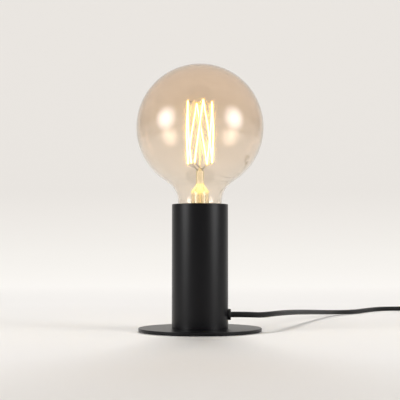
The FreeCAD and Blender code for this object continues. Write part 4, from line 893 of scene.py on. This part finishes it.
# ---------------------------------------------------------------- studio
@dataclass
class Studio:
    """A pale paper sweep, two soft boxes in front of it and a wide lamp over its far edge."""

    half_width: float = 2.2
    front_y: float = -1.9
    bend_y: float = 1.3
    bend_radius: float = 1.2
    top_z: float = 1.15
    # Paper colour by depth: warm white, with painted shade that darkens it towards the front and up the wall.
    paper_tone_and_shade_stops: tuple[tuple[float, str], ...] = (
        (-0.6, "#D8D4CF"), (-0.24, "#E6E3E0"), (0.0, "#EBE8E4"), (0.5, "#F7F4F1"),
        (1.3, "#F8F5F1"), (1.72, "#F4F1EC"), (1.955, "#EFEBE6"), (2.056, "#ECE8E3"))
    glow_from_y: float = 0.2
    glow_to_y: float = 1.5
    glow_share: float = 0.85
    glow_strength: float = 1.09
    box_size: tuple[float, float] = (1.02, 0.92)
    box_distance: float = 1.1
    box_turn_deg: float = 62.0
    box_rise_deg: float = 13.0
    box_power: float = 31.0
    box_core: float = 0.0
    box_target: Point = (0.0, 0.0, 0.16)
    back_size: tuple[float, float] = (2.1, 1.5)
    back_distance: float = 4.6
    back_rise_deg: float = 33.0
    back_power: float = 222.0
    bend_steps: int = 32
    room: str = "#FFFEFB"
    room_strength: float = 0.19
    dim: str = "#242427"
    pale: str = "#E6E2DD"
    rear_way: Point = (0.0, 0.45, 0.9)
    rear_from: float = 0.15
    rear_full: float = 0.75
    low_share: float = 0.7
    low_to_z: float = 0.3

    def sweep(self) -> None:
        """The floor and the wall as one sheet, bent through a quarter circle."""
        bend = np.linspace(0.0, math.pi / 2, self.bend_steps + 1)
        y = np.concatenate([[self.front_y], self.bend_y + self.bend_radius * np.sin(bend),
                            [self.bend_y + self.bend_radius]])
        z = np.concatenate([[0.0], self.bend_radius * (1 - np.cos(bend)), [self.top_z]])
        count = len(y)
        left = np.stack([np.full(count, -self.half_width), y, z], 1)
        right = left * np.array([-1.0, 1.0, 1.0])
        row = np.arange(count - 1)
        faces = np.stack([row, row + count, row + count + 1, row + 1], 1)
        mesh = bpy.data.meshes.new("paper_sweep")
        mesh.from_pydata(np.concatenate([left, right]).tolist(), [], faces.tolist())
        mesh.shade_smooth()
        mesh.materials.append(self.paper())
        sheet = bpy.data.objects.new("paper_sweep", mesh)
        bpy.context.scene.collection.objects.link(sheet)
        sheet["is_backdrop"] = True

    def paper(self) -> bpy.types.Material:
        """Warm white background paper, with painted shade that makes it a little darker at the front and up
        the wall.

        Returns:
            The material.
        """
        made = bpy.data.materials.new("warm_white_paper")
        made.use_nodes = True
        tree = made.node_tree
        tree.nodes.clear()
        place = add_node(tree, "ShaderNodeTexCoord")
        split = add_node(tree, "ShaderNodeSeparateXYZ", {"Vector": place.outputs["Object"]})
        first, last = self.paper_tone_and_shade_stops[0][0], self.paper_tone_and_shade_stops[-1][0]
        depth = add_node(tree, "ShaderNodeMapRange", {
            "Value": split.outputs["Y"], "From Min": first, "From Max": last})
        ramp = add_node(tree, "ShaderNodeValToRGB", {"Fac": depth.outputs["Result"]})
        while len(ramp.color_ramp.elements) < len(self.paper_tone_and_shade_stops):
            ramp.color_ramp.elements.new(0.5)
        for element, (where, colour) in zip(ramp.color_ramp.elements, self.paper_tone_and_shade_stops):
            element.position = (where - first) / (last - first)
            element.color = linear(colour)
        sheet = add_node(tree, "ShaderNodeBsdfDiffuse", {"Color": ramp.outputs["Color"]})
        glow = add_node(tree, "ShaderNodeEmission", {"Color": ramp.outputs["Color"],
                                                    "Strength": self.glow_strength})
        path = add_node(tree, "ShaderNodeLightPath")
        seen = add_node(tree, "ShaderNodeMath", {
            0: path.outputs["Is Camera Ray"], 1: path.outputs["Is Glossy Ray"]},
            operation="MAXIMUM")
        through = add_node(tree, "ShaderNodeMath", {
            0: seen.outputs[0], 1: path.outputs["Is Transmission Ray"]}, operation="MAXIMUM")
        far = add_node(tree, "ShaderNodeMapRange", {
            "Value": split.outputs["Y"], "From Min": self.glow_from_y,
            "From Max": self.glow_to_y, "To Max": self.glow_share},
            interpolation_type="SMOOTHSTEP")
        share = add_node(tree, "ShaderNodeMath", {
            0: through.outputs[0], 1: far.outputs["Result"]}, operation="MULTIPLY")
        both = add_node(tree, "ShaderNodeMixShader", {
            0: share.outputs[0], 1: sheet.outputs[0], 2: glow.outputs[0]})
        add_node(tree, "ShaderNodeOutputMaterial", {"Surface": both.outputs[0]})
        return made

    def soft_box(self, name: str, side: float) -> None:
        """A square soft box beside the camera, turned to the lamp.

        Args:
            name: The light's name.
            side: -1 for left, 1 for right.
        """
        light = bpy.data.lights.new(name, "AREA")
        light.shape = "RECTANGLE"
        light.size, light.size_y = self.box_size
        light.energy = self.box_power
        self.fade_edges(light)
        turn, rise = math.radians(self.box_turn_deg), math.radians(self.box_rise_deg)
        away = np.array([side * math.sin(turn) * math.cos(rise),
                         -math.cos(turn) * math.cos(rise), math.sin(rise)])
        box = bpy.data.objects.new(name, light)
        box.location = np.array(self.box_target) + away * self.box_distance
        box.rotation_euler = (math.pi / 2 - rise, 0.0, side * turn)
        box.visible_camera = False
        bpy.context.scene.collection.objects.link(box)

    def fade_edges(self, light: bpy.types.AreaLight) -> None:
        """Let a soft box's cloth fall off from its middle, as one lamp behind it makes it.

        Strength is 1 within the bright core and falls smoothly to nothing at the edge.

        Args:
            light: The light.
        """
        light.use_nodes = True
        tree = light.node_tree
        tree.nodes.clear()
        place = add_node(tree, "ShaderNodeNewGeometry")
        middle = add_node(tree, "ShaderNodeVectorMath", {
            0: place.outputs["Parametric"], 1: (0.5, 0.5, 0.0)}, operation="SUBTRACT")
        flat = add_node(tree, "ShaderNodeVectorMath", {
            0: middle.outputs[0], 1: (1.0, 1.0, 0.0)}, operation="MULTIPLY")
        reach = add_node(tree, "ShaderNodeVectorMath", {0: flat.outputs[0]}, operation="LENGTH")
        level = add_node(tree, "ShaderNodeMapRange", {
            "Value": reach.outputs["Value"], "From Min": self.box_core, "From Max": 0.5,
            "To Min": 1.0, "To Max": 0.0}, interpolation_type="SMOOTHSTEP")
        glow = add_node(tree, "ShaderNodeEmission", {"Strength": level.outputs["Result"]})
        add_node(tree, "ShaderNodeOutputLight", {"Surface": glow.outputs[0]})

    def back_light(self) -> None:
        """A wide lamp high behind the sweep, over its edge, pointing at the foot plate."""
        light = bpy.data.lights.new("back_light", "AREA")
        light.shape = "RECTANGLE"
        light.size, light.size_y = self.back_size
        light.energy = self.back_power
        rise = math.radians(self.back_rise_deg)
        lamp = bpy.data.objects.new("back_light", light)
        lamp.location = (0.0, self.back_distance * math.cos(rise),
                         self.back_distance * math.sin(rise))
        lamp.rotation_euler = (rise - math.pi / 2, 0.0, 0.0)
        lamp.visible_camera = False
        lamp.visible_glossy = False
        lamp.visible_transmission = False
        bpy.context.scene.collection.objects.link(lamp)

    def world(self) -> None:
        """Even light all round; what is glossy sees a room that is dim, except low and behind.

        The pale share is the larger of two smooth steps: one of the direction's part along
        rear_way, and one that falls with its height from the horizon up.
        """
        world = bpy.data.worlds.new("studio_room")
        bpy.context.scene.world = world
        world.use_nodes = True
        tree = world.node_tree
        tree.nodes.clear()
        path = add_node(tree, "ShaderNodeLightPath")
        room = add_node(tree, "ShaderNodeBackground", {"Color": linear(self.room),
                                                       "Strength": self.room_strength})
        place = add_node(tree, "ShaderNodeTexCoord")
        rear = add_node(tree, "ShaderNodeVectorMath", {
            0: place.outputs["Generated"], 1: self.rear_way}, operation="DOT_PRODUCT")
        share = add_node(tree, "ShaderNodeMapRange", {
            "Value": rear.outputs["Value"], "From Min": self.rear_from,
            "From Max": self.rear_full}, interpolation_type="SMOOTHSTEP")
        rise = add_node(tree, "ShaderNodeSeparateXYZ", {"Vector": place.outputs["Generated"]})
        low = add_node(tree, "ShaderNodeMapRange", {
            "Value": rise.outputs["Z"], "From Min": 0.0, "From Max": self.low_to_z,
            "To Min": self.low_share, "To Max": 0.0}, interpolation_type="SMOOTHSTEP")
        pale = add_node(tree, "ShaderNodeMath", {
            0: share.outputs["Result"], 1: low.outputs["Result"]}, operation="MAXIMUM")
        shade = add_node(tree, "ShaderNodeMix", {
            "Factor": pale.outputs[0], "A": linear(self.dim), "B": linear(self.pale)},
            data_type="RGBA")
        dim = add_node(tree, "ShaderNodeBackground", {"Color": shade.outputs["Result"],
                                                      "Strength": 1.0})
        both = add_node(tree, "ShaderNodeMixShader", {
            0: path.outputs["Is Glossy Ray"], 1: room.outputs[0], 2: dim.outputs[0]})
        add_node(tree, "ShaderNodeOutputWorld", {"Surface": both.outputs[0]})

    def build(self) -> None:
        """Put up the sweep and the lights."""
        self.sweep()
        self.soft_box("soft_box_left", -1.0)
        self.soft_box("soft_box_right", 1.0)
        self.back_light()
        self.world()


@dataclass
class PhotoCamera:
    """A short telephoto a little above the table, tilted slightly up."""

    place: Point = (0.0, -0.969, 0.076)
    pitch_deg: float = 3.08
    lens_mm: float = 89.1

    def build(self) -> None:
        """Set up the camera."""
        data = bpy.data.cameras.new("photo_camera")
        data.sensor_width = 36.0
        data.lens = self.lens_mm
        data.clip_start = 0.01
        camera = bpy.data.objects.new("photo_camera", data)
        camera.location = self.place
        camera.rotation_euler = (math.radians(90.0 + self.pitch_deg), 0.0, 0.0)
        bpy.context.scene.collection.objects.link(camera)
        bpy.context.scene.camera = camera


def corners() -> list[list[float]]:
    """The shown object's lowest and highest corners as plain lists."""
    return [list(corner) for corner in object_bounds()]


def main() -> None:
    """Build the lamp's looks, the studio and the camera."""
    logging.basicConfig(level=logging.INFO, format="%(name)s: %(message)s")
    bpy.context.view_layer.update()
    bpy.context.scene.view_settings.view_transform = "Standard"
    PhotoCamera().build()
    CordAndFittings().build()
    FootAndColumn().build()
    LampHolder().build()
    GlobeLamp().build()
    Studio().build()


if __name__ == "__main__":
    main()
